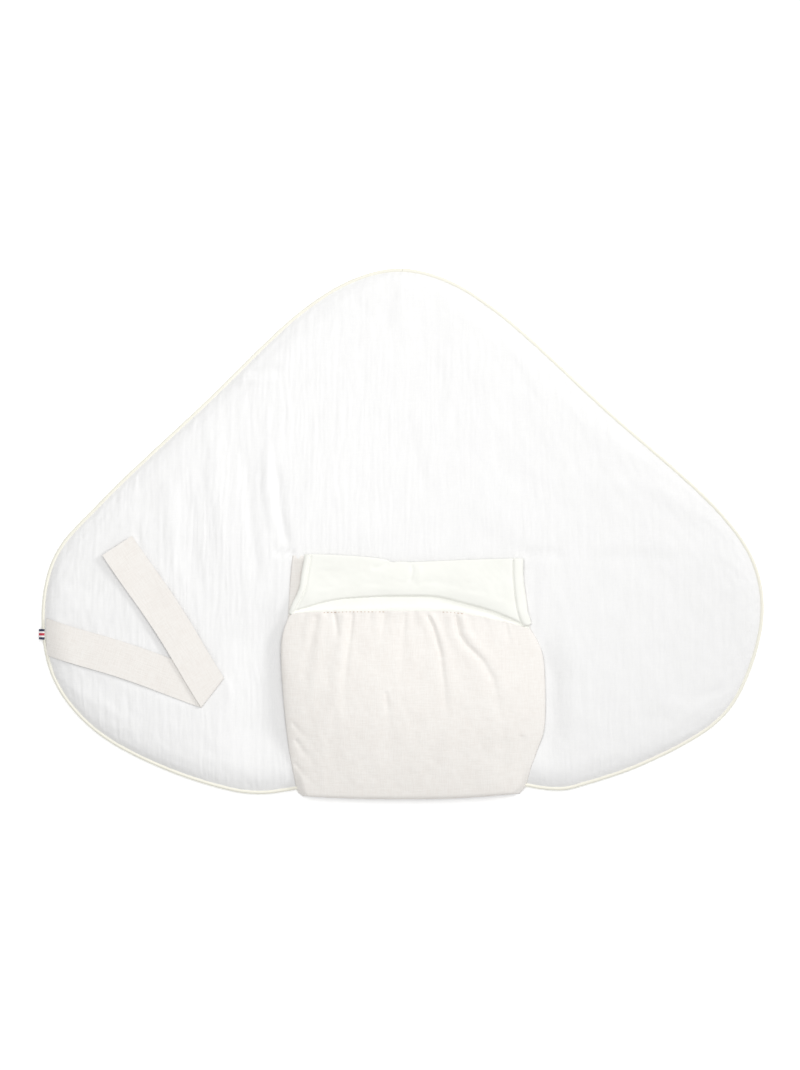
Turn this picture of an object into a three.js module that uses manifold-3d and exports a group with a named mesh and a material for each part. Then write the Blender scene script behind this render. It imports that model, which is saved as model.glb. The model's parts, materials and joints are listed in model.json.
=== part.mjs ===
// A swaddling wrap: a padded, piped blanket in the shape of a rounded triangle, with a gathered foot
// pouch, a turn-down jersey cuff and a fastening strap. Lying open, seen from above, the head is at +Y.
// Millimetres, +Z up. The origin is on the resting face, under the middle of the object's box.
import * as THREE from "three";
import { mergeVertices } from "three/addons/utils/BufferGeometryUtils.js";
import Module from "manifold-3d";

const wasm = await Module();
wasm.setup();

// ---------------------------------------------------------------- driving dimensions

const CLEARANCE = 0.35; // between pieces that touch
const OUTLINE_STEPS = 84; // points round the blanket's edge

// The blanket's edge, from the apex of the head down each side. A turn is measured from its wing's tip.
const APEX = { x: -3, y: 332, crownHalf: 58, crownDrop: 13, shoulderHalf: 122, shoulderDrop: 52 };
const SIDE_BOW = 3; // how far the long sides bow out
const WING = {
  left: { tip: -451, tipY: -105, upperTurn: [73, 145], upperRound: [16, 78], lowerRound: [15, 78],
    lowerTurn: [64, 140], heel: [154, 190], footReach: 40, footY: -324.5 },
  right: { tip: 452.5, tipY: -97, upperTurn: [51, 122], upperRound: [11, 62], lowerRound: [18, 78],
    lowerTurn: [53, 135], heel: [150, 192], footReach: 10, footY: -322 },
};
const FOOT_INSET = 40;
const FOOT_RISE = 7; // how much higher the lower edge runs behind the pouch than beside it
const FOLD_X = { left: -158, right: 187 }; // lines on which the wings fold
const FOLD_GAP = 0.6; // between the two sides of a fold line

const COVER = 1.4; // quilted gauze, face and back
const WADDING = 11;
const EDGE_ROLL = 30; // how far in from the seam the face reaches its full height
const UNDER_ROLL = 16; // and the back
const ROLL_STEPS = [0, 3, 8, UNDER_ROLL, EDGE_ROLL];
const PIPING = { radius: 2.2, cord: 1.3, z: 4.8, sides: 8 };
const SEAM_HALF = 0.3; // half the gap between the two covers at the seam

const POUCH = { x: 14, footY: -329, mouthY: -100, footHalf: 148, mouthHalf: 152, bulge: 14,
  cornerRadius: 14, footBow: 3, height: 20, mouthHeight: 8 };
const LINEN = 0.8;
const LINING = 0.6;
const POUCH_WADDING = { middle: 3, edge: 0.5 };
const BACK_PANEL_TOP = -28; // the pouch's back panel runs up under the cuff to here

const CUFF = { height: 71, topHalf: 126, flare: 20, layer: 1, tipHeight: 7, shift: -2 };
const BINDING = { width: 6, thick: 1.6 };

const STRAP = { width: 42, root: 219, tail: 217, thick: 2, angle: -18.5, tailAngle: 123, seamY: -128,
  fromSeam: 4, seamEase: 0.8 };
const HOOK = { length: 48, width: 32, thick: 1.6, inset: 4 };
const LOOP = { length: 100, width: 36, thick: 0.7, x: -240, y: -125 };
const LABEL = { width: 13, thick: 0.6, reach: 3.7, y: -125.5 };

// ---------------------------------------------------------------- heights that follow from them

const BACK_TOP = COVER;
const WADDING_TOP = BACK_TOP + CLEARANCE + WADDING;
const FACE_TOP = WADDING_TOP + CLEARANCE + COVER;
const RIM = 2 * PIPING.radius + CLEARANCE; // inset at which the covers start, inside the piping
const PANEL_TOP = FACE_TOP + CLEARANCE + LINEN;

// ---------------------------------------------------------------- colours

const WHITE_GAUZE = { color: 0xf6f6f5, roughness: 0.95 };
const IVORY_BIAS = { color: 0xece8da, roughness: 0.7 };
const NATURAL_LINEN = { color: 0xe9e5dc, roughness: 0.95 };
const WHITE_JERSEY = { color: 0xfafaf3, roughness: 0.9 };
const POLYESTER_FILL = { color: 0xf2f2f2, roughness: 1 };
const COTTON_CORD = { color: 0xe8e4d8, roughness: 1 };
const FASTENER_TAPE = { color: 0xe4e0d6, roughness: 0.9 };
const WOVEN_RIBBON = { color: 0x4a5066, roughness: 0.8 };

const wrap = new THREE.Group();

function add(name, geometry, look, parent = wrap) {
  const mesh = new THREE.Mesh(geometry, new THREE.MeshStandardMaterial({ ...look, metalness: 0 }));
  mesh.name = name;
  parent.add(mesh);
  return mesh;
}

// ---------------------------------------------------------------- solids

function solidOf(geometry) {
  const bare = new THREE.BufferGeometry().setAttribute("position", geometry.getAttribute("position"));
  if (geometry.index) bare.setIndex(geometry.index);
  const merged = mergeVertices(bare, 1e-4);
  return new wasm.Manifold(new wasm.Mesh({
    numProp: 3,
    vertProperties: merged.attributes.position.array,
    triVerts: new Uint32Array(merged.index.array),
  }));
}

function geometryOf(solid) {
  const mesh = solid.getMesh();
  return new THREE.BufferGeometry()
    .setAttribute("position", new THREE.BufferAttribute(mesh.vertProperties, 3))
    .setIndex(new THREE.BufferAttribute(mesh.triVerts, 1));
}

function block(low, high) {
  const size = high.map((value, axis) => value - low[axis]);
  const box = new THREE.BoxGeometry(...size);
  box.translate(...low.map((value, axis) => value + size[axis] / 2));
  return solidOf(box);
}

// A closed surface from rings of equal length, each counter-clockwise from above, from the underside's
// innermost ring out round the edge and back to the top's innermost ring. Flat caps close both ends.
function stackOfRings(rings) {
  const count = rings[0].length;
  const positions = rings.flat().flatMap((point) => [point.x, point.y, point.z]);
  const faces = [];
  for (let ring = 0; ring + 1 < rings.length; ring++) {
    for (let i = 0; i < count; i++) {
      const next = (i + 1) % count;
      const [a, b] = [ring * count + i, ring * count + next];
      const [c, d] = [b + count, a + count];
      faces.push(a, b, c, a, c, d);
    }
  }
  const cap = (ring) => THREE.ShapeUtils.triangulateShape(
    rings[ring].map((point) => new THREE.Vector2(point.x, point.y)), []);
  const top = (rings.length - 1) * count;
  cap(0).forEach(([a, b, c]) => faces.push(a, c, b));
  cap(rings.length - 1).forEach(([a, b, c]) => faces.push(top + a, top + b, top + c));
  return new THREE.BufferGeometry()
    .setAttribute("position", new THREE.Float32BufferAttribute(positions, 3))
    .setIndex(faces);
}

// A closed plate over a grid of places(u, v), between the heights under(u, v) and over(u, v).
function gridPlate(columns, rows, place, under, over) {
  const positions = [];
  const faces = [];
  const at = (layer, i, j) => (layer * (rows.length) + j) * columns.length + i;
  for (const height of [under, over]) {
    for (const v of rows) {
      for (const u of columns) {
        const [x, y] = place(u, v);
        positions.push(x, y, height(u, v));
      }
    }
  }
  const quad = (a, b, c, d) => faces.push(a, b, c, a, c, d);
  const [lastI, lastJ] = [columns.length - 1, rows.length - 1];
  for (let j = 0; j < lastJ; j++) {
    for (let i = 0; i < lastI; i++) {
      quad(at(1, i, j), at(1, i + 1, j), at(1, i + 1, j + 1), at(1, i, j + 1));
      quad(at(0, i, j), at(0, i, j + 1), at(0, i + 1, j + 1), at(0, i + 1, j));
    }
    quad(at(0, 0, j), at(1, 0, j), at(1, 0, j + 1), at(0, 0, j + 1));
    quad(at(0, lastI, j), at(0, lastI, j + 1), at(1, lastI, j + 1), at(1, lastI, j));
  }
  for (let i = 0; i < lastI; i++) {
    quad(at(0, i, 0), at(0, i + 1, 0), at(1, i + 1, 0), at(1, i, 0));
    quad(at(0, i, lastJ), at(1, i, lastJ), at(1, i + 1, lastJ), at(0, i + 1, lastJ));
  }
  return new THREE.BufferGeometry()
    .setAttribute("position", new THREE.Float32BufferAttribute(positions, 3))
    .setIndex(faces);
}

function evenly(count, from = 0, to = 1) {
  return Array.from({ length: count + 1 }, (_, i) => from + ((to - from) * i) / count);
}

const mix = THREE.MathUtils.lerp;
const rounded = (t) => 1 - (1 - Math.min(Math.max(t, 0), 1)) ** 2;

// ---------------------------------------------------------------- the blanket's edge

function sidePoints(wing, side) {
  const inward = -side;
  const from = (offset, down) => [wing.tip + inward * offset[0], wing.tipY + down * offset[1]];
  const shoulder = [APEX.x + side * APEX.shoulderHalf, APEX.y - APEX.shoulderDrop];
  const upperTurn = from(wing.upperTurn, 1);
  const along = new THREE.Vector2(upperTurn[0] - shoulder[0], upperTurn[1] - shoulder[1]).normalize();
  const middle = [
    (shoulder[0] + upperTurn[0]) / 2 - along.y * SIDE_BOW * inward,
    (shoulder[1] + upperTurn[1]) / 2 + Math.abs(along.x) * SIDE_BOW,
  ];
  const fold = side < 0 ? FOLD_X.left : FOLD_X.right;
  return [
    [APEX.x + side * APEX.crownHalf, APEX.y - APEX.crownDrop],
    shoulder,
    middle,
    upperTurn,
    from(wing.upperRound, 1),
    [wing.tip, wing.tipY],
    from(wing.lowerRound, -1),
    from(wing.lowerTurn, -1),
    from(wing.heel, -1),
    [fold + side * wing.footReach, wing.footY],
    [fold, wing.footY],
    [fold - side * FOOT_INSET, wing.footY + FOOT_RISE],
  ];
}

const edgePoints = [
  [APEX.x, APEX.y],
  ...sidePoints(WING.left, -1),
  ...sidePoints(WING.right, 1).reverse(),
].map(([x, y]) => new THREE.Vector3(x, y, 0));
const edge = new THREE.CatmullRomCurve3(edgePoints, true, "centripetal").getSpacedPoints(OUTLINE_STEPS);
edge.pop();

// The edge moved in by a distance, at a height.
function ringAt(inset, z) {
  return edge.map((point, i) => {
    const before = edge[(i + edge.length - 1) % edge.length];
    const after = edge[(i + 1) % edge.length];
    const along = after.clone().sub(before).normalize();
    return new THREE.Vector3(point.x - along.y * inset, point.y + along.x * inset, z);
  });
}

// Heights of the blanket's layers at a distance inside the seam.
const faceOver = (s) => mix(PIPING.z + SEAM_HALF + COVER, FACE_TOP, rounded(s / EDGE_ROLL));
const faceUnder = (s) => faceOver(s) - COVER;
const backUnder = (s) => mix(PIPING.z - SEAM_HALF - COVER, 0, rounded(s / UNDER_ROLL));
const backOver = (s) => backUnder(s) + COVER;

// One layer of the blanket between two height curves, each taken at steps inwards from the seam.
function layer(under, over, steps) {
  const rings = [
    ...steps.toReversed().map((s) => ringAt(RIM + s, under(s))),
    ...steps.map((s) => ringAt(RIM + s, over(s))),
  ];
  return solidOf(stackOfRings(rings));
}

const faceCover = layer(faceUnder, faceOver, ROLL_STEPS);
const backCover = layer(backUnder, backOver, ROLL_STEPS.slice(0, -1));
const waddingUnder = (s) => backOver(s) + CLEARANCE;
const waddingOver = (s) => faceUnder(s) - CLEARANCE;
const wadding = layer(waddingUnder, waddingOver, ROLL_STEPS.slice(1));

// A round tube along the edge, solid when its bore is 0.
function edgeTube(radius, bore) {
  const sections = bore ? [radius, bore] : [radius];
  const middle = ringAt(PIPING.radius, PIPING.z);
  const outer = ringAt(0, PIPING.z);
  const positions = [];
  const faces = [];
  const sides = PIPING.sides;
  for (let i = 0; i < edge.length; i++) {
    const away = outer[i].clone().sub(middle[i]).normalize();
    for (const r of sections) {
      for (let k = 0; k < sides; k++) {
        const turn = (2 * Math.PI * k) / sides;
        const point = middle[i].clone().addScaledVector(away, r * Math.cos(turn));
        positions.push(point.x, point.y, point.z + r * Math.sin(turn));
      }
    }
  }
  const ring = sides * sections.length;
  for (let i = 0; i < edge.length; i++) {
    const here = i * ring;
    const next = ((i + 1) % edge.length) * ring;
    sections.forEach((_, wall) => {
      for (let k = 0; k < sides; k++) {
        const [p, q] = [wall * sides + k, wall * sides + ((k + 1) % sides)];
        const [a, b, c, d] = [here + p, next + p, next + q, here + q];
        if (wall) faces.push(d, c, b, d, b, a);
        else faces.push(a, b, c, a, c, d);
      }
    });
  }
  return solidOf(new THREE.BufferGeometry()
    .setAttribute("position", new THREE.Float32BufferAttribute(positions, 3))
    .setIndex(faces));
}

const HUGE = 2000;
const HEAD_ONLY = 0; // the middle's piping ends beside the pouch, so it is kept above this line only
const thirds = {
  centre: [FOLD_X.left + FOLD_GAP / 2, FOLD_X.right - FOLD_GAP / 2],
  left: [-HUGE, FOLD_X.left - FOLD_GAP / 2],
  right: [FOLD_X.right + FOLD_GAP / 2, HUGE],
};

function third(solid, [low, high], lowestY = -HUGE) {
  return geometryOf(solid.intersect(block([low, lowestY, -HUGE], [high, HUGE, HUGE])));
}

// ---------------------------------------------------------------- blanket nodes

function loopPocket() {
  const grow = CLEARANCE;
  return block(
    [LOOP.x - LOOP.length / 2 - grow, LOOP.y - LOOP.width / 2 - grow, -1],
    [LOOP.x + LOOP.length / 2 + grow, LOOP.y + LOOP.width / 2 + grow, LOOP.thick + grow],
  );
}

const pipingCover = edgeTube(PIPING.radius, PIPING.cord + CLEARANCE);
const pipingCord = edgeTube(PIPING.cord, 0);

for (const [name, range] of Object.entries(thirds)) {
  const back = name === "left" ? backCover.subtract(loopPocket()) : backCover;
  const pipingFrom = name === "centre" ? HEAD_ONLY : -HUGE;
  add(`back_cover_${name}`, third(back, range), WHITE_GAUZE);
  add(`wadding_${name}`, third(wadding, range), POLYESTER_FILL);
  add(`face_cover_${name}`, third(faceCover, range), WHITE_GAUZE);
  add(`piping_cover_${name}`, third(pipingCover, range, pipingFrom), IVORY_BIAS);
  add(`piping_cord_${name}`, third(pipingCord, range, pipingFrom), COTTON_CORD);
}

// ---------------------------------------------------------------- pouch

// Half the pouch's width at a share v of the way from its foot to its mouth.
function pouchHalf(v) {
  const up = v * (POUCH.mouthY - POUCH.footY);
  const corner = Math.max(0, 1 - up / POUCH.cornerRadius);
  const cut = POUCH.cornerRadius * (1 - Math.sqrt(1 - corner ** 2));
  return mix(POUCH.footHalf, POUCH.mouthHalf, v) + POUCH.bulge * Math.sin(Math.PI * v) - cut;
}

function pouchPlace(u, v) {
  const bow = POUCH.footBow * (1 - v) ** 4 * (1 - (2 * u - 1) ** 2);
  const y = mix(POUCH.footY, POUCH.mouthY, v) - bow;
  return [POUCH.x + (2 * u - 1) * pouchHalf(v), y];
}

// 0 at the pouch's side seams and foot, 1 over its middle, and mouth at its open edge.
function crown(u, v, mouth) {
  const across = 1 - Math.abs(2 * u - 1) ** 2.5;
  const fromFoot = rounded(v / 0.4);
  const toMouth = mix(mouth, 1, rounded((1 - v) / 0.5));
  return across * fromFoot * toMouth;
}

const pouchGap = (u, v) => CLEARANCE + POUCH.height * crown(u, v, POUCH.mouthHeight / POUCH.height);
const pouchFill = (u, v) => mix(POUCH_WADDING.edge, POUCH_WADDING.middle, crown(u, v, 0));
const liningUnder = (u, v) => PANEL_TOP + pouchGap(u, v);
const liningOver = (u, v) => liningUnder(u, v) + LINING;
const fillUnder = (u, v) => liningOver(u, v) + CLEARANCE;
const fillOver = (u, v) => fillUnder(u, v) + pouchFill(u, v);
const frontUnder = (u, v) => fillOver(u, v) + CLEARANCE;
const frontOver = (u, v) => frontUnder(u, v) + LINEN;

const pouchColumns = evenly(14).map((t) => 0.5 - 0.5 * Math.cos(Math.PI * t));
const pouchRows = [0, 0.02, 0.05, ...evenly(8, 0.12, 1)];
const pouchGrid = [pouchColumns, pouchRows, pouchPlace];

add("pouch_lining", gridPlate(...pouchGrid, liningUnder, liningOver), WHITE_JERSEY);
add("pouch_wadding", gridPlate(...pouchGrid, fillUnder, fillOver), POLYESTER_FILL);
add("pouch_front", gridPlate(...pouchGrid, frontUnder, frontOver), NATURAL_LINEN);

// The back panel lies on the blanket: as wide as the front below the cuff, and a little narrower above.
function panelPlace(u, v) {
  if (v <= 1) return pouchPlace(u, v);
  const share = v - 1;
  const y = mix(POUCH.mouthY, BACK_PANEL_TOP, share);
  return [POUCH.x + (2 * u - 1) * mix(POUCH.mouthHalf, POUCH.mouthHalf - 8, share), y];
}

const panelUnder = () => FACE_TOP + CLEARANCE;
const panelRows = [...pouchRows, 2];
const backPanel = gridPlate([0, 0.5, 1], panelRows, panelPlace, panelUnder, () => PANEL_TOP);
add("pouch_back", backPanel, NATURAL_LINEN);

// ---------------------------------------------------------------- cuff

// w runs from the seam with the pouch, 0, to the free edge, 1.
const cuffHalf = (w) => CUFF.topHalf + CUFF.flare * (1 - w) ** 3;
const cuffLow = POUCH.mouthY + FOLD_GAP;

function cuffPlace(u, w) {
  return [POUCH.x + CUFF.shift + (2 * u - 1) * cuffHalf(w), mix(cuffLow, cuffLow + CUFF.height, w)];
}

function cuffUnder(u, w) {
  const across = 1 - Math.abs(2 * u - 1) ** 2.5;
  return PANEL_TOP + CLEARANCE + across * mix(POUCH.mouthHeight, CUFF.tipHeight, w);
}

const cuffOver = (u, w) => cuffUnder(u, w) + CUFF.layer;
const outerUnder = (u, w) => cuffOver(u, w) + CLEARANCE;
const outerOver = (u, w) => outerUnder(u, w) + CUFF.layer;
const cuffRows = evenly(5);

add("cuff_inner", gridPlate(pouchColumns, cuffRows, cuffPlace, cuffUnder, cuffOver), WHITE_JERSEY);
add("cuff_outer", gridPlate(pouchColumns, cuffRows, cuffPlace, outerUnder, outerOver), WHITE_JERSEY);

for (const [name, side] of [["left", -1], ["right", 1]]) {
  const place = (u, w) => {
    const [x, y] = cuffPlace(side < 0 ? 0 : 1, w);
    const out = CLEARANCE + BINDING.width * (side < 0 ? 1 - u : u);
    return [x + side * out, y];
  };
  const under = () => PANEL_TOP + CLEARANCE;
  const over = () => under() + BINDING.thick;
  add(`cuff_binding_${name}`, gridPlate([0, 1], cuffRows, place, under, over), WHITE_JERSEY);
}

// ---------------------------------------------------------------- strap

// The strap's root runs from the edge seam to a crease, and its tail lies folded back over it.
const strapAngle = THREE.MathUtils.degToRad(STRAP.angle);
const tailTurn = THREE.MathUtils.degToRad(STRAP.tailAngle) - strapAngle;
const creaseSkew = STRAP.width / 2 / Math.tan(tailTurn / 2);

// How far a point lies inside the seam.
function insetOf(point) {
  const nearest = new THREE.Vector3();
  const distances = edge.map((start, i) => {
    new THREE.Line3(start, edge[(i + 1) % edge.length]).closestPointToPoint(point, true, nearest);
    return nearest.distanceTo(point);
  });
  return Math.min(...distances) - RIM;
}

function leftEdgeX(y) {
  const after = edge.findIndex((point, i) => i > 0 && point.y <= y && edge[i - 1].y > y);
  const [high, low] = [edge[after - 1], edge[after]];
  return mix(low.x, high.x, (y - low.y) / (high.y - low.y));
}

const strapRoot = new THREE.Group();
strapRoot.position.set(leftEdgeX(STRAP.seamY) + RIM, STRAP.seamY, 0);
strapRoot.rotation.z = strapAngle;
strapRoot.updateMatrix();
wrap.add(strapRoot);

// Columns near the seam run along it, and the last one is the crease.
function rootPlace(inset, v) {
  const y = (v - 0.5) * STRAP.width;
  if (inset === STRAP.root) return [STRAP.root - FOLD_GAP + (2 * v - 1) * creaseSkew, y];
  return [inset / Math.cos(strapAngle) + y * Math.tan(strapAngle), y];
}

function rootUnder(inset, v) {
  const point = new THREE.Vector3(...rootPlace(inset, v), 0).applyMatrix4(strapRoot.matrix);
  const ease = STRAP.seamEase * (1 - rounded(inset / EDGE_ROLL));
  return faceOver(insetOf(point)) + CLEARANCE + ease;
}

const rootOver = (inset, v) => rootUnder(inset, v) + STRAP.thick;
const rootColumns = [...evenly(8, STRAP.fromSeam, 1.6 * EDGE_ROLL), STRAP.root];
const rootCloth = gridPlate(rootColumns, evenly(4), rootPlace, rootUnder, rootOver);
add("strap_root", rootCloth, NATURAL_LINEN, strapRoot);

const TAIL_UNDER = FACE_TOP + CLEARANCE + STRAP.thick + CLEARANCE;
const strapTail = new THREE.Group();
strapTail.position.set(STRAP.root, 0, TAIL_UNDER);
strapTail.rotation.z = tailTurn;
strapRoot.add(strapTail);

const tailPlace = (u, v) => [u ? STRAP.tail : (1 - 2 * v) * creaseSkew, (v - 0.5) * STRAP.width];
const tailCloth = gridPlate([0, 1], [0, 1], tailPlace, () => 0, () => STRAP.thick);
add("strap_tail", tailCloth, NATURAL_LINEN, strapTail);

const hookPatch = new THREE.BoxGeometry(HOOK.length, HOOK.width, HOOK.thick);
hookPatch.translate(STRAP.tail - HOOK.inset - HOOK.length / 2, 0, -CLEARANCE - HOOK.thick / 2);
add("hook_patch", hookPatch, FASTENER_TAPE, strapTail);

const loopPatch = new THREE.BoxGeometry(LOOP.length, LOOP.width, LOOP.thick);
add("loop_patch", loopPatch, FASTENER_TAPE).position.set(LOOP.x, LOOP.y, LOOP.thick / 2);

// ---------------------------------------------------------------- side label

// A ribbon folded round the piping: over it, down its outside and back under it.
function labelShape() {
  const inner = PIPING.radius + CLEARANCE;
  const outer = inner + LABEL.thick;
  const front = PIPING.radius + LABEL.reach;
  const tail = PIPING.radius - 1;
  const shape = new THREE.Shape();
  shape.moveTo(tail, outer);
  shape.lineTo(-front, outer);
  shape.lineTo(-front, -outer);
  shape.lineTo(tail, -outer);
  shape.lineTo(tail, -inner);
  shape.lineTo(-front + LABEL.thick, -inner);
  shape.lineTo(-front + LABEL.thick, inner);
  shape.lineTo(tail, inner);
  return shape;
}

const ribbon = new THREE.ExtrudeGeometry(labelShape(), { depth: LABEL.width, bevelEnabled: false });
const label = add("side_label", ribbon, WOVEN_RIBBON);
label.rotation.x = Math.PI / 2;
label.position.set(leftEdgeX(LABEL.y) + PIPING.radius, LABEL.y + LABEL.width / 2, PIPING.z);

export default wrap;
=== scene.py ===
# %% [markdown]
# # A baby's swaddle wrap
#
# The wrap lies open. A padded blanket of white cotton gauze has an ivory cord round its edge. A pouch of
# natural linen is gathered on to it for the legs, with a jersey cuff above, and a linen strap is sewn into
# the left edge and folded back once. The CAD frame gives every place and size. Each cloth piece is then built
# over it as a fine mesh, and some pieces are parented to the body that they belong to.

# %% Load the frame
import json
import math

import bpy
import numpy as np
from mathutils.kdtree import KDTree
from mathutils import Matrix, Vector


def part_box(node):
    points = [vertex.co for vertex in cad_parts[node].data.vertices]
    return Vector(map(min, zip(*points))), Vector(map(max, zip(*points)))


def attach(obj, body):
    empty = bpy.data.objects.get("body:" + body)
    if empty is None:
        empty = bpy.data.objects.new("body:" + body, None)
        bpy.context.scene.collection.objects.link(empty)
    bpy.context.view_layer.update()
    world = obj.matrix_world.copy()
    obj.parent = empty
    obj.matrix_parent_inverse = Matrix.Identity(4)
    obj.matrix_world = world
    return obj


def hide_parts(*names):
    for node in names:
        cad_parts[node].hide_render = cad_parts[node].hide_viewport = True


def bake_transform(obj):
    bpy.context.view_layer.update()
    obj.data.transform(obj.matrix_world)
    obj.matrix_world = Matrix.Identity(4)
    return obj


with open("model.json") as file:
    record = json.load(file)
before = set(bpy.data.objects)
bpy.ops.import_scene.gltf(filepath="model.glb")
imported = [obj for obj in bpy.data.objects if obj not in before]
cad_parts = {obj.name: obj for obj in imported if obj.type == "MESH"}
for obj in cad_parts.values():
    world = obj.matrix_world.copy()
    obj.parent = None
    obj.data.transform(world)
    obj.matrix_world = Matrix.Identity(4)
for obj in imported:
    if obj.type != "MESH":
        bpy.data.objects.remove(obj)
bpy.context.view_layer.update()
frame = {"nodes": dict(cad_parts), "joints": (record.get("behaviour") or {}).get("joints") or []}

MM = 0.001

# %% [markdown]
# ## Camera, floor and light
#
# A flat lay is taken from straight above with a long lens, so that the edges don't lean. The set is a bright
# white table under one large soft light. A sky of even light alone would be simpler, but the white cloth
# needs a little direction in the light, or its crinkles vanish. So a second light, farther off, rakes across
# it from the upper right.

# %% Camera
VIEW_HEIGHT = 1333.5 * MM  # how much of the table the picture shows, from top to bottom
FILM_HEIGHT = 24.0
LENS = 60.0

camera_data = bpy.data.cameras.new("camera")
camera_data.sensor_fit = "VERTICAL"
camera_data.sensor_height = FILM_HEIGHT
camera_data.lens = LENS
camera_data.clip_end = 50
camera = bpy.data.objects.new("camera", camera_data)
camera.location = (-2.5 * MM, -1.5 * MM, 14 * MM + VIEW_HEIGHT * LENS / FILM_HEIGHT)
bpy.context.collection.objects.link(camera)
bpy.context.scene.camera = camera
print("The camera is", round(camera.location.z, 2), "m above the table")

# %% Floor and lights
FLOOR_HALF = 6.0

bpy.ops.mesh.primitive_plane_add(size=2 * FLOOR_HALF, location=(0, 0, -0.6 * MM))
floor = bpy.context.object
floor.name = "floor"

floor_material = bpy.data.materials.new("white_table")
floor_material.use_nodes = True
floor_shader = floor_material.node_tree.nodes["Principled BSDF"]
floor_shader.inputs["Base Color"].default_value = (0.93, 0.93, 0.93, 1)
floor_shader.inputs["Roughness"].default_value = 1.0
floor_shader.inputs["Emission Color"].default_value = (1, 1, 1, 1)
floor_shader.inputs["Emission Strength"].default_value = 0.27
floor.data.materials.append(floor_material)


def soft_light(name, place, target, size, watts):
    """A square area light at a place, turned towards a target."""
    data = bpy.data.lights.new(name, "AREA")
    data.shape = "SQUARE"
    data.size = size
    data.energy = watts
    light = bpy.data.objects.new(name, data)
    light.location = place
    away = light.location - type(light.location)(target)
    light.rotation_euler = away.to_track_quat("Z", "Y").to_euler()
    light.visible_camera = False
    bpy.context.collection.objects.link(light)


soft_light("overhead", (-0.08, 0.22, 1.3), (-0.04, 0.05, 0), 1.0, 11)
soft_light("raking", (5.4, 2.7, 3.0), (0.0, 0.0, 0), 1.4, 160)

world = bpy.data.worlds.new("studio")
world.use_nodes = True
world.node_tree.nodes["Background"].inputs["Color"].default_value = (1, 1, 1, 1)
world.node_tree.nodes["Background"].inputs["Strength"].default_value = 0.5
bpy.context.scene.world = world
bpy.context.scene.view_settings.view_transform = "Standard"

# %% [markdown]
# ## Meshes from grids
#
# Every cloth piece here is a grid of points, because cloth is woven on a grid: one index runs along the cloth
# and the other across it. A closed piece is a top grid and an under grid with a wall between their edges. A
# plain sheet with a Solidify modifier would do the same, but then the edges couldn't be thinned. Each point
# also keeps its place on the flat cloth, which the materials use, so that the weave stays with the cloth when
# a wing folds.


# %% Grid helpers
def mix(a, b, share):
    """a where share is 0, and b where it is 1."""
    return a + (b - a) * share


def ease(t):
    """0 to 1 with a soft start and a soft end."""
    t = np.clip(t, 0, 1)
    return t * t * (3 - 2 * t)


def dome(t):
    """0 to 1, rising at once and then levelling off."""
    return 1 - (1 - np.clip(t, 0, 1)) ** 2


def stack(x, y, z):
    """Points from three arrays or numbers."""
    return np.stack(np.broadcast_arrays(x, y, z), axis=-1).astype(float)


def grid_faces(rows, columns, first=0):
    """Quads of a grid whose points are numbered row by row, facing up when x grows with the column."""
    corner = first + np.arange(rows * columns).reshape(rows, columns)
    a, b, c, d = corner[:-1, :-1], corner[:-1, 1:], corner[1:, 1:], corner[1:, :-1]
    return np.stack([a, b, c, d], axis=-1).reshape(-1, 4)


def edge_loop(rows, columns):
    """The numbers of a grid's edge points, in order round it, counter-clockwise from above."""
    index = np.arange(rows * columns).reshape(rows, columns)
    return np.concatenate([index[0, :-1], index[:-1, -1], index[-1, :0:-1], index[:0:-1, 0]])


def new_piece(name, points, faces, cloth=None):
    """A piece from an array of points and a list of faces. cloth is the flat place of each point."""
    mesh = bpy.data.meshes.new(name)
    mesh.from_pydata(points.reshape(-1, 3).tolist(), [], faces)
    mesh.shade_smooth()
    if cloth is not None:
        places = mesh.attributes.new("cloth_place", "FLOAT_VECTOR", "POINT")
        places.data.foreach_set("vector", cloth.reshape(-1, 3).astype(np.float32).ravel())
    piece = bpy.data.objects.new(name, mesh)
    bpy.context.collection.objects.link(piece)
    return piece


def closed_piece(name, top, under, cloth):
    """A closed piece between two grids of the same size. cloth is the flat place of each grid point."""
    rows, columns = top.shape[:2]
    count = rows * columns
    loop = edge_loop(rows, columns)
    following = np.roll(loop, -1)
    walls = np.stack([loop + count, following + count, following, loop], axis=-1)
    over, below = grid_faces(rows, columns), grid_faces(rows, columns, count)[:, ::-1]
    faces = np.concatenate([over, below, walls]).tolist()
    points = np.concatenate([top.reshape(-1, 3), under.reshape(-1, 3)])
    return new_piece(name, points, faces, np.concatenate([cloth.reshape(-1, 3)] * 2))


def value_noise(x, y, seed):
    """Smooth random hills between -1 and 1, one per unit square, the same for the same seed."""
    table = np.random.default_rng(seed).uniform(-1, 1, (256, 256))
    column, row = np.floor(x).astype(int), np.floor(y).astype(int)
    across, along = ease(x - column), ease(y - row)

    def at(i, j):
        return table[(row + j) % 256, (column + i) % 256]

    low = mix(at(0, 0), at(1, 0), across)
    return mix(low, mix(at(0, 1), at(1, 1), across), along)


def from_path(x, y, path):
    """How far each point lies from a path, and how far along it the nearest point is, from 0 to 1."""
    path = np.asarray(path, float)
    lengths = np.linalg.norm(np.diff(path, axis=0), axis=1)
    before = np.concatenate([[0], np.cumsum(lengths)])
    best = np.full(np.shape(x), np.inf)
    along = np.zeros(np.shape(x))
    for start, end, length, done in zip(path[:-1], path[1:], lengths, before[:-1]):
        run = (end - start) / length
        t = np.clip((x - start[0]) * run[0] + (y - start[1]) * run[1], 0, length)
        distance = np.hypot(x - start[0] - t * run[0], y - start[1] - t * run[1])
        nearer = distance < best
        best = np.where(nearer, distance, best)
        along = np.where(nearer, (done + t) / before[-1], along)
    return best, along


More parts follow.
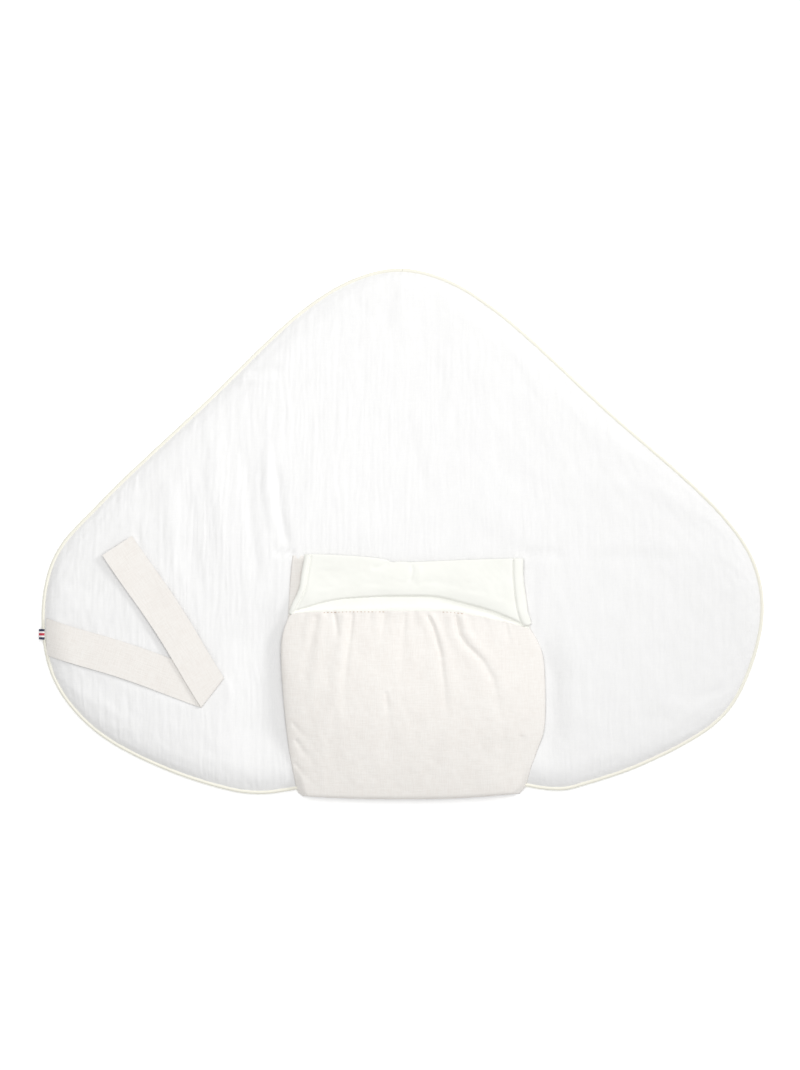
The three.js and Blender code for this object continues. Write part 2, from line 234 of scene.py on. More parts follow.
def crease(x, y, path, width, height, fade=0.25):
    """A soft ridge, or a valley where height is negative, along a path, dying out towards its ends."""
    distance, along = from_path(x, y, np.asarray(path, float) * MM)
    ends = ease(along / fade) * ease((1 - along) / fade)
    return height * np.exp(-((distance / width) ** 2)) * ends


def pleat(x, y, path, width, height):
    """A crease that starts sharp at a gathered seam, and widens and dies out along its path."""
    distance, along = from_path(x, y, np.asarray(path, float) * MM)
    spread_out = width * mix(0.7, 1.9, along)
    return height * np.exp(-((distance / spread_out) ** 2)) * ease(along / 0.04) * (1 - along) ** 0.75


print("Half way, eased and domed:", ease(0.5), dome(0.5))

# %% [markdown]
# ## Finishes
#
# Everything here is cloth, so the finishes share three effects, each a node group with named sockets. Woven
# threads gives the over-and-under of a plain weave with its thick and thin threads. Mottle gives the slow
# changes of tone that washed cloth has. Knit gives the fine columns of loops of a jersey. Pictures of cloth
# could be laid on instead, but formulas stay sharp close up and need no files. The groups read the place on
# the flat cloth, in metres, so that their sizes are real ones.


# %% Node helpers
def group_with(name, inputs, outputs):
    """A node group with float or vector inputs and float outputs, and its two end nodes."""
    tree = bpy.data.node_groups.new(name, "ShaderNodeTree")
    for socket, kind, value in inputs:
        made = tree.interface.new_socket(socket, in_out="INPUT", socket_type=kind)
        if value is not None:
            made.default_value = value
    for socket in outputs:
        tree.interface.new_socket(socket, in_out="OUTPUT", socket_type="NodeSocketFloat")
    return tree, tree.nodes.new("NodeGroupInput"), tree.nodes.new("NodeGroupOutput")


def wire(tree, source, target):
    tree.links.new(source, target)


def calculate(tree, operation, *values):
    """A Math node: each value is a number or a socket."""
    node = tree.nodes.new("ShaderNodeMath")
    node.operation = operation
    for socket, value in zip(node.inputs, values):
        if isinstance(value, (int, float)):
            socket.default_value = value
        else:
            wire(tree, value, socket)
    return node.outputs[0]


def stretched(tree, place, factors):
    """The place multiplied by a number on each axis."""
    node = tree.nodes.new("ShaderNodeVectorMath")
    node.operation = "MULTIPLY"
    wire(tree, place, node.inputs[0])
    node.inputs[1].default_value = factors
    return node.outputs[0]


def noise(tree, place, scale):
    """Noise between 0 and 1, with a number of hills per metre."""
    node = tree.nodes.new("ShaderNodeTexNoise")
    wire(tree, place, node.inputs["Vector"])
    node.inputs["Scale"].default_value = scale
    node.inputs["Detail"].default_value = 2.0
    return node.outputs["Fac"]


# %% Woven threads
def make_woven_threads():
    """A plain weave: threads that go over and under, with thick and thin places along them."""
    tree, start, end = group_with(
        "woven_threads",
        [("Place", "NodeSocketVector", None), ("Threads per metre", "NodeSocketFloat", 1300.0),
         ("Wobble", "NodeSocketFloat", 0.6), ("Slubs", "NodeSocketFloat", 0.5)],
        ["Height", "Tone"],
    )
    place, threads = start.outputs["Place"], start.outputs["Threads per metre"]
    wobble = calculate(tree, "MULTIPLY", noise(tree, place, 170.0), start.outputs["Wobble"])
    split = tree.nodes.new("ShaderNodeSeparateXYZ")
    wire(tree, place, split.inputs[0])
    waves = []
    for axis in ("X", "Y"):
        count = calculate(tree, "MULTIPLY", split.outputs[axis], threads)
        turned = calculate(tree, "MULTIPLY", calculate(tree, "ADD", count, wobble), math.pi)
        waves.append(calculate(tree, "SINE", turned))
    over = calculate(tree, "ABSOLUTE", calculate(tree, "MULTIPLY", *waves))
    along_x = noise(tree, stretched(tree, place, (70, 620, 1)), 1.0)
    along_y = noise(tree, stretched(tree, place, (620, 70, 1)), 1.0)
    uneven = calculate(tree, "SUBTRACT", calculate(tree, "ADD", along_x, along_y), 1.0)
    slubs = calculate(tree, "MULTIPLY", uneven, start.outputs["Slubs"])
    wire(tree, calculate(tree, "ADD", calculate(tree, "MULTIPLY", over, 0.4), slubs), end.inputs["Height"])
    wire(tree, calculate(tree, "ADD", slubs, 0.5), end.inputs["Tone"])
    return tree


WOVEN = make_woven_threads()
print("Woven threads has", len(WOVEN.nodes), "nodes")


# %% Mottle
def make_mottle():
    """Slow changes of tone round one half."""
    tree, start, end = group_with(
        "mottle",
        [("Place", "NodeSocketVector", None), ("Patches per metre", "NodeSocketFloat", 30.0),
         ("Contrast", "NodeSocketFloat", 1.0)],
        ["Mask"],
    )
    node = tree.nodes.new("ShaderNodeTexNoise")
    node.inputs["Detail"].default_value = 4.0
    wire(tree, start.outputs["Place"], node.inputs["Vector"])
    wire(tree, start.outputs["Patches per metre"], node.inputs["Scale"])
    centred = calculate(tree, "SUBTRACT", node.outputs["Fac"], 0.5)
    stronger = calculate(tree, "MULTIPLY", centred, start.outputs["Contrast"])
    wire(tree, calculate(tree, "ADD", stronger, 0.5), end.inputs["Mask"])
    return tree


MOTTLE = make_mottle()
print("Mottle has", len(MOTTLE.nodes), "nodes")


# %% Knit
def make_knit():
    """Columns of slanted loops."""
    tree, start, end = group_with(
        "knit",
        [("Place", "NodeSocketVector", None), ("Columns per metre", "NodeSocketFloat", 900.0)],
        ["Height"],
    )
    split = tree.nodes.new("ShaderNodeSeparateXYZ")
    wire(tree, start.outputs["Place"], split.inputs[0])
    across = calculate(tree, "MULTIPLY", split.outputs["X"], start.outputs["Columns per metre"])
    wave = calculate(tree, "SINE", calculate(tree, "MULTIPLY", across, math.pi))
    column = calculate(tree, "ABSOLUTE", wave)
    lean = calculate(tree, "PINGPONG", across, 0.5)
    row = calculate(tree, "MULTIPLY", split.outputs["Y"], start.outputs["Columns per metre"])
    turned = calculate(tree, "MULTIPLY", calculate(tree, "ADD", row, lean), 2 * math.pi)
    loops = calculate(tree, "MULTIPLY", calculate(tree, "SINE", turned), 0.35)
    wire(tree, calculate(tree, "ADD", column, loops), end.inputs["Height"])
    return tree


KNIT = make_knit()
print("Knit has", len(KNIT.nodes), "nodes")


# %% [markdown]
# A material is then short. The place on the cloth feeds the groups, a mix of two close colours takes the
# mottle and the threads' tone, and a bump takes the threads' height. The shape of folds and crinkles is never
# left to the bump: it is in the meshes.


# %% Cloth material
def cloth_material(name, light, dark, effect, settings, bump, roughness=0.9):
    """A cloth of two close colours with one of the shared effects, and that effect's settings."""
    material = bpy.data.materials.new(name)
    material.use_nodes = True
    tree = material.node_tree
    shader = tree.nodes["Principled BSDF"]
    shader.inputs["Roughness"].default_value = roughness
    shader.inputs["Sheen Weight"].default_value = 0.15
    shader.inputs["Specular IOR Level"].default_value = 0.2

    place = tree.nodes.new("ShaderNodeAttribute")
    place.attribute_name = "cloth_place"
    texture = tree.nodes.new("ShaderNodeGroup")
    texture.node_tree = effect
    mottled = tree.nodes.new("ShaderNodeGroup")
    mottled.node_tree = MOTTLE
    mottled.inputs["Patches per metre"].default_value = 30.0
    for node in (texture, mottled):
        wire(tree, place.outputs["Vector"], node.inputs["Place"])
    for socket, value in settings.items():
        texture.inputs[socket].default_value = value

    tone = mottled.outputs["Mask"]
    if "Tone" in texture.outputs:
        share = calculate(tree, "MULTIPLY", tone, 0.4)
        tone = calculate(tree, "MULTIPLY_ADD", texture.outputs["Tone"], 0.6, share)
    colour = tree.nodes.new("ShaderNodeMix")
    colour.data_type = "RGBA"
    colour.inputs["A"].default_value = (*dark, 1)
    colour.inputs["B"].default_value = (*light, 1)
    wire(tree, tone, colour.inputs["Factor"])
    wire(tree, colour.outputs["Result"], shader.inputs["Base Color"])

    relief = tree.nodes.new("ShaderNodeBump")
    relief.inputs["Strength"].default_value = bump
    relief.inputs["Distance"].default_value = 0.3 * MM
    wire(tree, texture.outputs["Height"], relief.inputs["Height"])
    wire(tree, relief.outputs["Normal"], shader.inputs["Normal"])
    return material


# %% The wrap's finishes
GAUZE = cloth_material(
    "crinkled_gauze", (0.87, 0.868, 0.865), (0.78, 0.778, 0.775), WOVEN,
    {"Threads per metre": 1100.0, "Wobble": 1.2, "Slubs": 0.5}, bump=0.6)
LINEN = cloth_material(
    "slubby_linen", (0.865, 0.85, 0.82), (0.76, 0.718, 0.677), WOVEN,
    {"Threads per metre": 1300.0, "Wobble": 0.8, "Slubs": 1.1}, bump=0.5)
JERSEY = cloth_material(
    "cuff_knit", (0.865, 0.868, 0.825), (0.81, 0.813, 0.765), KNIT,
    {"Columns per metre": 900.0}, bump=0.25, roughness=0.8)
SATEEN = cloth_material(
    "ivory_sateen", (0.86, 0.845, 0.76), (0.78, 0.76, 0.66), WOVEN,
    {"Threads per metre": 1900.0, "Wobble": 0.3, "Slubs": 0.2}, bump=0.3, roughness=0.6)
TAPE = cloth_material(
    "woven_tape", (0.78, 0.74, 0.66), (0.60, 0.55, 0.47), WOVEN,
    {"Threads per metre": 700.0, "Wobble": 1.5, "Slubs": 1.0}, bump=1.0)
THREAD = cloth_material(
    "brown_thread", (0.62, 0.45, 0.30), (0.42, 0.29, 0.18), WOVEN,
    {"Threads per metre": 3000.0, "Wobble": 0.2, "Slubs": 0.2}, bump=0.3)
print("Materials:", [m.name for m in (GAUZE, LINEN, JERSEY, SATEEN, TAPE, THREAD)])

# %% [markdown]
# ## The blanket
#
# The blanket is one big pad: a gauze face and a gauze back round a wadding, closed at a seam that the piping
# covers. A rounded slab could be sculpted, but its crinkles would be slow work. A column of points for every
# millimetre and a half suits it better, because the crinkles of double gauze all run from foot to head. The
# seam's line is read off the CAD face, so every column knows where it starts and ends.

# %% Places from the frame
def joint_named(name):
    return next(joint for joint in frame["joints"] if joint["name"] == name)


pipe_low, pipe_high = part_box("piping_cover_left")
PIPE_RADIUS = (pipe_high.z - pipe_low.z) / 2
PIPE_Z = (pipe_high.z + pipe_low.z) / 2
FACE_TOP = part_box("face_cover_centre")[1].z
FOLD_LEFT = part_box("face_cover_left")[1].x
FOLD_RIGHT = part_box("face_cover_right")[0].x
print("The face's top is at", round(FACE_TOP / MM, 2), "mm")
print("The folds are at x =", round(FOLD_LEFT / MM), "and", round(FOLD_RIGHT / MM), "mm")


# %% The seam's line
TUCK = 1.2 * MM  # how far the cloth runs on into the piping
FOLD_BAND = 2 * MM  # points of the CAD face this near to a fold belong to the cut, not to the rim


def smooth_path(points, steps, closed=False):
    """A Catmull-Rom curve through the points, with a number of steps between each two."""
    points = np.asarray(points, float)
    if closed:
        before, after = np.roll(points, 1, axis=0), np.roll(points, -1, axis=0)
        start, end, beyond = points, after, np.roll(points, -2, axis=0)
    else:
        padded = np.concatenate([[2 * points[0] - points[1]], points, [2 * points[-1] - points[-2]]])
        before, start, end, beyond = padded[:-3], padded[1:-2], padded[2:-1], padded[3:]
    t = (np.arange(steps) / steps)[None, :, None]
    p0, p1, p2, p3 = (p[:, None, :] for p in (before, start, end, beyond))
    curve = 0.5 * (2 * p1 + (p2 - p0) * t + (2 * p0 - 5 * p1 + 4 * p2 - p3) * t**2
                   + (3 * p1 - p0 - 3 * p2 + p3) * t**3)
    curve = curve.reshape(-1, points.shape[1])
    return curve if closed else np.concatenate([curve, points[-1:]])


def read_seam():
    """The rim of the CAD face covers, in order round the blanket, counter-clockwise."""
    found = []
    for part in ("left", "centre", "right"):
        points = np.array([v.co for v in frame["nodes"]["face_cover_" + part].data.vertices])
        found.append(points[points[:, 2] < points[:, 2].min() + 0.02 * MM][:, :2])
    found = np.unique(np.round(np.concatenate(found), 5), axis=0)
    for fold in (FOLD_LEFT, FOLD_RIGHT):
        found = found[np.abs(found[:, 0] - fold) > FOLD_BAND]
    angle = np.arctan2(found[:, 1] + 50 * MM, found[:, 0])
    return smooth_path(found[np.argsort(angle)], 24, closed=True)


def moved_out(line, distance):
    """A closed line moved outwards."""
    along = np.roll(line, -1, axis=0) - np.roll(line, 1, axis=0)
    along /= np.linalg.norm(along, axis=1)[:, None]
    return line + distance * np.stack([along[:, 1], -along[:, 0]], axis=1)


seam = read_seam()
rim = moved_out(seam, TUCK)
print("The seam is", round(np.linalg.norm(np.diff(seam, axis=0), axis=1).sum(), 3), "m round")

# %% [markdown]
# The strap lies on the left wing and flattens the gauze under it, so its line is needed first. It runs in
# from its seam, turns at a slanted crease, and runs back up. The frame gives its start and its crease, and
# the tail is the root's direction mirrored at that crease, as it is when a real strap is folded.

# %% Where the strap lies
STRAP_HALF = 22 * MM
STRAP_ANGLE = math.radians(-18.5)
STRAP_TAIL = 217 * MM
STRAP_CAUGHT = 3 * MM  # how much of the strap is caught in the seam

unfold, swing = joint_named("strap_unfold"), joint_named("strap_swing")
fold_line = np.array(unfold["axis"][:2])
fold_out = np.array([fold_line[1], -fold_line[0]])  # points away from the strap's root
root_run = np.array([math.cos(STRAP_ANGLE), math.sin(STRAP_ANGLE)])
tail_run = root_run - 2 * (root_run @ fold_out) * fold_out
strap_crease = np.array(unfold["pos_m"][:2])
strap_length = (strap_crease[0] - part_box("strap_root")[0].x + STRAP_CAUGHT) / root_run[0]
strap_seam = strap_crease - strap_length * root_run
strap_end = strap_crease + STRAP_TAIL * tail_run
print("The strap runs", round(strap_length / MM), "mm to its crease and", round(STRAP_TAIL / MM), "mm back")

# %% [markdown]
# Real double gauze is two thin cloths joined at points, and it shrinks into long narrow crinkles. A bump in
# the material could fake them, but it would leave the edges straight. Two sizes of stretched noise move the
# points instead. The absolute value of the noise makes the valleys narrow and the tops round.
# Broader folds follow the way this wrap has been laid out: soft ones down the left wing, a dip along each
# side of the pouch where its weight presses, and short strained creases near the edge.

# %% Folds and dips
COLUMN = 1.5 * MM
ROWS = 136
ROLL = 34 * MM  # how far in from the seam the face reaches its full height
CRINKLE = {"left": 1.2 * MM, "right": 0.7 * MM}

SOFT_FOLDS = [  # path in mm, width and height in mm
    ([(-235, 150), (-232, 60), (-222, -10), (-216, -60)], 11, 1.6),
    ([(-196, 110), (-190, 30), (-184, -30), (-183, -75)], 7, -1.5),
    ([(-168, 120), (-167, 60), (-158, -5)], 8, 1.9),
    ([(-156, 95), (-153, 30), (-147, 0), (-138, -25)], 6, -2.6),
    ([(-292, 80), (-288, 10), (-280, -60)], 9, 1.2),
    ([(-268, 70), (-262, -10), (-255, -80)], 8, -1.0),
    ([(-205, 206), (-180, 203), (-146, 208)], 5, -1.3),
    ([(-212, 192), (-180, 190), (-150, 193)], 5, 1.0),
    ([(-330, 20), (-327, -30), (-322, -70)], 6, -1.0),
    ([(-162, -25), (-145, -23), (-130, -24)], 4, -2.2),
    ([(146, -27), (168, -25), (205, -25)], 4.5, -1.8),
    ([(215, -18), (290, -14), (380, -20)], 11, 0.6),
    ([(215, -30), (290, -27), (370, -34)], 10, -0.6),
    ([(228, 62), (300, 60), (360, 52)], 10, 0.7),
]
PRESSED = [  # the dips beside the pouch, given in the same way
    ([(-152, -70), (-160, -170), (-164, -240), (-152, -305)], 28, -6.5),
    ([(-176, -85), (-190, -170), (-193, -240), (-186, -300)], 24, -4.6),
    ([(172, -110), (187, -180), (188, -240), (170, -305)], 16, -5.0),
]
print(len(SOFT_FOLDS), "soft folds and", len(PRESSED), "dips")


# %% The blanket's relief
def crinkles(x, y, seed):
    """The fine crinkles of double gauze, as a share of their size."""
    wander = 2.4 * MM * value_noise(x / (26 * MM), y / (38 * MM), seed)
    broad = np.abs(value_noise((x + wander) / (4.2 * MM), y / (70 * MM), seed + 1))
    narrow = np.abs(value_noise((x + wander) / (2.6 * MM), y / (22 * MM), seed + 2))
    strength = 0.75 + 0.45 * value_noise(x / (60 * MM), y / (90 * MM), seed + 3)
    return strength * (0.62 * broad + 0.38 * narrow - 0.35)


def under_pouch(x, y):
    """1 where the pouch and cuff cover the face, falling to 0 round them."""
    low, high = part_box("pouch_back")
    inside = np.minimum.reduce([x - low.x, high.x - x, high.y - y])
    return ease((inside - 4 * MM) / (10 * MM))


def under_strap(x, y):
    """1 where the strap lies on the face, falling to 0 beside it."""
    distance, _ = from_path(x, y, [strap_seam, strap_crease, strap_end])
    return ease((STRAP_HALF + 6 * MM - distance) / (6 * MM))


def smooth_face(inset):
    """The face's height without its folds and crinkles."""
    return mix(PIPE_Z + 0.3 * MM, FACE_TOP, 1 - (1 - np.clip(inset / ROLL, 0, 1)) ** 2.4)


def face_height(x, y, inset):
    """The face with its folds and crinkles, smooth where the pouch and the strap lie."""
    height = smooth_face(inset)
    relief = sum(crease(x, y, path, w * MM, h * MM) for path, w, h in SOFT_FOLDS)
    relief += sum(crease(x, y, path, w * MM, h * MM, fade=0.3) for path, w, h in PRESSED)
    relief += 1.1 * MM * value_noise(x / (95 * MM), y / (120 * MM), 5)  # slow swells of the wadding
    size = mix(CRINKLE["left"], CRINKLE["right"], ease((x + 250 * MM) / (260 * MM)))
    relief += size * crinkles(x, y, 11)
    puckers = value_noise((x + y) / (6 * MM), (x - y) / (6 * MM), 21) * np.exp(-inset / (7 * MM))
    relief = relief * ease(inset / (9 * MM)) + 0.5 * MM * puckers * ease(inset / (2 * MM))
    strained = np.maximum(under_pouch(x, y), 0.8 * under_strap(x, y))
    return mix(height + relief, np.minimum(height, FACE_TOP - 0.4 * MM), strained)


def back_height(x, y, inset):
    """The back, which curls up to the piping at its rim and lies on the table elsewhere."""
    height = mix(PIPE_Z - 0.3 * MM, 0.6 * MM, dome(inset / (15 * MM)))
    return np.maximum(height + 0.8 * MM * crinkles(x, y, 31) * ease(inset / (9 * MM)), 0.05 * MM)


print("At the seam the face is", round(float(smooth_face(0) / MM), 1), "mm high")


# %% The blanket's grid
def edge_heights(columns):
    """Where each column leaves the rim at the foot and at the head."""
    left, right = rim[:, 0].argmin(), rim[:, 0].argmax()
    ordered = np.roll(rim, -left, axis=0)
    split = (right - left) % len(rim)
    foot, head = ordered[:split + 1], ordered[split:][::-1]
    return (np.interp(columns, foot[:, 0], foot[:, 1]), np.interp(columns, head[:, 0], head[:, 1]))


def rim_tree():
    tree = KDTree(len(rim))
    for number, (x, y) in enumerate(rim):
        tree.insert((x, y, 0), number)
    tree.balance()
    return tree


nearest_rim = rim_tree().find


def inset_of(x, y):
    """How far each point lies from the blanket's rim."""
    return np.array([nearest_rim((px, py, 0))[2] for px, py in zip(x.ravel(), y.ravel())]).reshape(x.shape)


def blanket_grid(columns):
    """Rows of points between the foot and the head, closer together near both, and their insets."""
    share = np.linspace(0, 1, ROWS)
    share = mix(share, 0.5 - 0.5 * np.cos(math.pi * share), 0.5)[:, None]
    foot, head = edge_heights(columns)
    x, y = np.broadcast_arrays(columns[None, :], mix(foot, head, share))
    return x, y, inset_of(x, y)


def normals_of(grid):
    """Unit normals of a grid of points, upwards where x grows with the column and y with the row."""
    across, along = np.gradient(grid, axis=1), np.gradient(grid, axis=0)
    normal = np.cross(across, along)
    return normal / np.maximum(np.linalg.norm(normal, axis=-1, keepdims=True), 1e-12)


END = 0.6 * MM  # the outermost columns stop short of the rim's tips
left_end, right_end = rim[:, 0].min() + END, rim[:, 0].max() - END
columns = np.concatenate([
    np.linspace(left_end, 0, round(-left_end / COLUMN) + 1),
    np.linspace(0, right_end, round(right_end / COLUMN) + 1)[1:],
])
blanket_x, blanket_y, blanket_inset = blanket_grid(columns)
middle = int(np.argmin(np.abs(columns)))
print("The blanket's grid:", blanket_x.shape, "with the middle at column", middle)

# %% [markdown]
# The face is first laid by formula and then let go as cloth, on a coarser grid. More noise would also make
# hollows, but it wouldn't know where the cloth is held. The cloth is cut a little too wide, as quilted gauze
# is, so it buckles into soft uneven hollows between those places. Its change of height is added to the fine
# grid, and is capped, so that it stays a thin pad.


# %% Cloth simulation
CLOTH_STIFFNESS = 6.0


def let_go(name, points, hold, slack, frames, push=0.0, bending=0.4):
    """Runs a grid of points as cloth, from the given shape, and returns where the points end up.
    hold says how firmly each point is held in place.
    slack says how much too wide and too long the cloth is cut."""
    rows, columns = points.shape[:2]
    piece = new_piece(name, points, grid_faces(rows, columns).tolist())
    piece.shape_key_add(name="held")
    cut = piece.shape_key_add(name="cut")
    larger = points.reshape(-1, 3) * np.array([1 + slack[0], 1 + slack[1], 1])
    cut.data.foreach_set("co", larger.ravel())
    group = piece.vertex_groups.new(name="hold")
    for index, weight in enumerate(hold.ravel()):
        group.add([index], float(weight), "REPLACE")
    cloth = piece.modifiers.new("cloth", "CLOTH")
    settings = cloth.settings
    settings.quality = 5
    settings.mass = 0.1
    settings.air_damping = 4
    settings.tension_stiffness = CLOTH_STIFFNESS
    settings.compression_stiffness = CLOTH_STIFFNESS
    settings.shear_stiffness = CLOTH_STIFFNESS / 2
    settings.bending_stiffness = bending
    settings.vertex_group_mass = "hold"
    settings.pin_stiffness = 1.0
    settings.rest_shape_key = cut
    settings.use_pressure = push > 0
    settings.uniform_pressure_force = push
    settings.effector_weights.gravity = 0
    cloth.collision_settings.use_collision = False
    cloth.collision_settings.use_self_collision = False
    cloth.point_cache.frame_start, cloth.point_cache.frame_end = 1, frames
    scene = bpy.context.scene
    for frame_number in range(1, frames + 1):
        scene.frame_set(frame_number)
    shape = piece.evaluated_get(bpy.context.evaluated_depsgraph_get()).to_mesh()
    moved = np.zeros(len(shape.vertices) * 3)
    shape.vertices.foreach_get("co", moved)
    bpy.data.objects.remove(piece)
    scene.frame_set(1)
    return moved.reshape(points.shape)


def spread(values, rows, columns):
    """A coarse grid of values on a finer grid of the given size, smoothed."""
    coarse_rows, coarse_columns = values.shape
    along = np.linspace(0, coarse_rows - 1, rows)
    across = np.linspace(0, coarse_columns - 1, columns)
    tall = np.array([np.interp(along, np.arange(coarse_rows), column) for column in values.T]).T
    wide = np.array([np.interp(across, np.arange(coarse_columns), row) for row in tall])
    for _ in range(3):
        wide[1:-1] = (wide[:-2] + 2 * wide[1:-1] + wide[2:]) / 4
        wide[:, 1:-1] = (wide[:, :-2] + 2 * wide[:, 1:-1] + wide[:, 2:]) / 4
    return wide


# %% Let the gauze settle
def settled_blanket(cap=2.5 * MM):
    """How far each point of the blanket's face rises or falls."""
    every = (slice(None, None, 2), slice(None, None, 5))
    x, y, inset = blanket_x[every], blanket_y[every], blanket_inset[every]
    uneven = 0.3 * MM * value_noise(x / (20 * MM), y / (40 * MM), 3)
    start = stack(x, y, mix(PIPE_Z, FACE_TOP, dome(inset / ROLL)) + uneven)
    hold = np.where(inset < 4 * MM, 1.0, 0.03)
    hold = np.maximum(hold, under_pouch(x, y))
    moved = let_go("blanket_cloth", start, hold, (0.02, 0.008), 24)
    rise = np.clip(moved[..., 2] - start[..., 2], -cap, cap)
    print("The cloth rose and fell by up to", round(float(np.abs(rise).max() / MM), 2), "mm")
    return spread(rise - rise.mean(), *blanket_x.shape)


settled = settled_blanket()

# %% [markdown]
# The face and back are now put together. One mesh would be the plain choice, but each mesh can bend across
# only one joint and the blanket has two folds, so it is made as a left and a right half that meet at the
# middle. Both halves take their normals from the whole grid, so the meeting line can't be seen.

# %% Face and back
loop_low, loop_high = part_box("loop_patch")
beyond_patch = np.maximum.reduce([
    loop_low.x - blanket_x, blanket_x - loop_high.x, loop_low.y - blanket_y, blanket_y - loop_high.y,
])
over_patch = ease(1 - beyond_patch / (6 * MM))
give = settled * ease(blanket_inset / (10 * MM)) * (1 - under_pouch(blanket_x, blanket_y))
face_z = face_height(blanket_x, blanket_y, blanket_inset) + give
back_z = np.maximum(back_height(blanket_x, blanket_y, blanket_inset), 1.1 * MM * over_patch)
face_grid, back_grid = stack(blanket_x, blanket_y, face_z), stack(blanket_x, blanket_y, back_z)
face_normals, back_normals = normals_of(face_grid), -normals_of(back_grid)
flat_place = stack(blanket_x, blanket_y, 0)
print("The pad is", round(float((face_z - back_z).max() / MM), 1), "mm at its thickest")


# %% Blanket halves
def set_normals(piece, *grids):
    """Gives the points the normals of the whole cloth, so that two pieces shade as one where they meet."""
    normals = np.concatenate([grid.reshape(-1, 3) for grid in grids])
    piece.data.normals_split_custom_set_from_vertices(normals.tolist())


def across(joint, before, after):
    """Where a piece starts and stops turning at a joint, given as distances past its axis along x."""
    place = joint["pos_m"][0]
    return (place + before, 0, 0), (place + after, 0, 0)


def bend_with_wing(piece, side):
    """Bakes a piece's place into its mesh. The piece doesn't turn with its wing."""
    if side == "left":
        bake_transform(piece)
    else:
        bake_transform(piece)


for side, part in (("left", slice(0, middle + 1)), ("right", slice(middle, None))):
    half = closed_piece("blanket_" + side, face_grid[:, part], back_grid[:, part], flat_place[:, part])
    set_normals(half, face_normals[:, part], back_normals[:, part])
    half.data.materials.append(GAUZE)
    bend_with_wing(half, side)
    for body in (side, "centre"):
        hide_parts("face_cover_" + body, "wadding_" + body, "back_cover_" + body)
    print(half.name, "has", len(half.data.polygons), "faces")

# %% [markdown]
# ## The piping
#
# A bias strip folded over a cord makes a round tube, with small puckers where the strip turns the corners. A
# curve with a round bevel would give the tube, but not the puckers, so a ring of points is swept along the
# seam's line. The piping runs from one lower corner of the pouch round to the other.


# %% Tubes
def even_path(points, step):
    """The same path with its points a step apart, and how far along it each one is."""
    before = np.concatenate([[0], np.cumsum(np.linalg.norm(np.diff(points, axis=0), axis=1))])
    marks = np.linspace(0, before[-1], round(before[-1] / step) + 1)
    return np.stack([np.interp(marks, before, column) for column in points.T], axis=1), marks


def tube_grid(centres, radii, sides):
    """Rings round a path: an array of steps by sides points."""
    centres = np.asarray(centres, float)
    along = np.gradient(centres, axis=0)
    along /= np.linalg.norm(along, axis=1)[:, None]
    aside = np.cross(along, [0, 0, 1])
    aside /= np.linalg.norm(aside, axis=1)[:, None]
    up = np.cross(aside, along)
    turn = 2 * math.pi * np.arange(sides) / sides
    ring = np.cos(turn)[None, :, None] * aside[:, None] + np.sin(turn)[None, :, None] * up[:, None]
    return centres[:, None] + np.broadcast_to(radii, (len(centres), sides))[..., None] * ring


def tube_faces(steps, sides, first=0):
    """Quads between the rings of a tube."""
    corner = first + np.arange(steps * sides).reshape(steps, sides)
    following = np.roll(corner, -1, axis=1)
    return np.stack([corner[:-1], corner[1:], following[1:], following[:-1]], axis=-1).reshape(-1, 4)


def capped_tube(name, centres, radii, sides, cloth):
    """A tube round a path, closed by one face at each end."""
    steps = len(centres)
    first_ring = list(range(sides))
    last_ring = list(range((steps - 1) * sides, steps * sides))
    faces = tube_faces(steps, sides).tolist() + [first_ring, last_ring[::-1]]
    return new_piece(name, tube_grid(centres, radii, sides), faces, cloth)


# %% Piping round both wings
PIPE_SIDES = 20
PIPE_END = {"left": 126 * MM, "right": 146 * MM}  # how far out each end is hidden under the pouch
PIPE_TURN = 14 * MM  # how far the strip's threads slant in one turn round the cord

pipe_out = seam[:, 0].min() - pipe_low.x - PIPE_RADIUS
pipe_line = moved_out(seam, pipe_out)
head = int(np.argmin(np.where(pipe_line[:, 1] > 0, np.abs(pipe_line[:, 0]), 1)))

for side, turn_way in (("left", 1), ("right", -1)):
    line = np.roll(pipe_line, -head, axis=0)
    line = line if turn_way > 0 else np.roll(line[::-1], 1, axis=0)
    under = (line[:, 1] < -250 * MM) & (np.abs(line[:, 0]) < PIPE_END[side])
    line = line[:int(np.argmax(under))]
    line[0, 0] = 0
    path, marks = even_path(line, 1.6 * MM)
    turn = np.arange(PIPE_SIDES) / PIPE_SIDES
    pucker = value_noise(marks[:, None] / (2.6 * MM), turn[None] * 4, 41) * 0.035
    pucker += value_noise(marks[:, None] / (24 * MM), turn[None] * 2, 42) * 0.03
    centres = np.column_stack([path, np.full(len(path), PIPE_Z)])
    slant = turn[None] * PIPE_TURN
    cloth = stack(marks[:, None] + slant, marks[:, None] - slant, 0) * 0.7
    piping = capped_tube("piping_" + side, centres, PIPE_RADIUS * (1 + pucker), PIPE_SIDES, cloth)
    piping.data.materials.append(SATEEN)
    bend_with_wing(piping, side)
    for body in (side, "centre"):
        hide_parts("piping_cover_" + body, "piping_cord_" + body)
    print(piping.name, "is", round(float(marks[-1]), 3), "m long")

# %% [markdown]
# ## The foot pouch
#
# The pouch is a soft bag: linen over a little wadding and a lining, gathered into a narrower seam at its
# mouth and closed along three sides. It could be sewn from flat panels and blown up by a simulation, but then
# its outline would be hard to hold. So four edge curves and a patch between them give its plan and a dome
# gives it body. A cloth simulation with spare width lets the linen sag and buckle between its seams, and the
# deep pleats that the gathering pulled into this one are then pressed in.

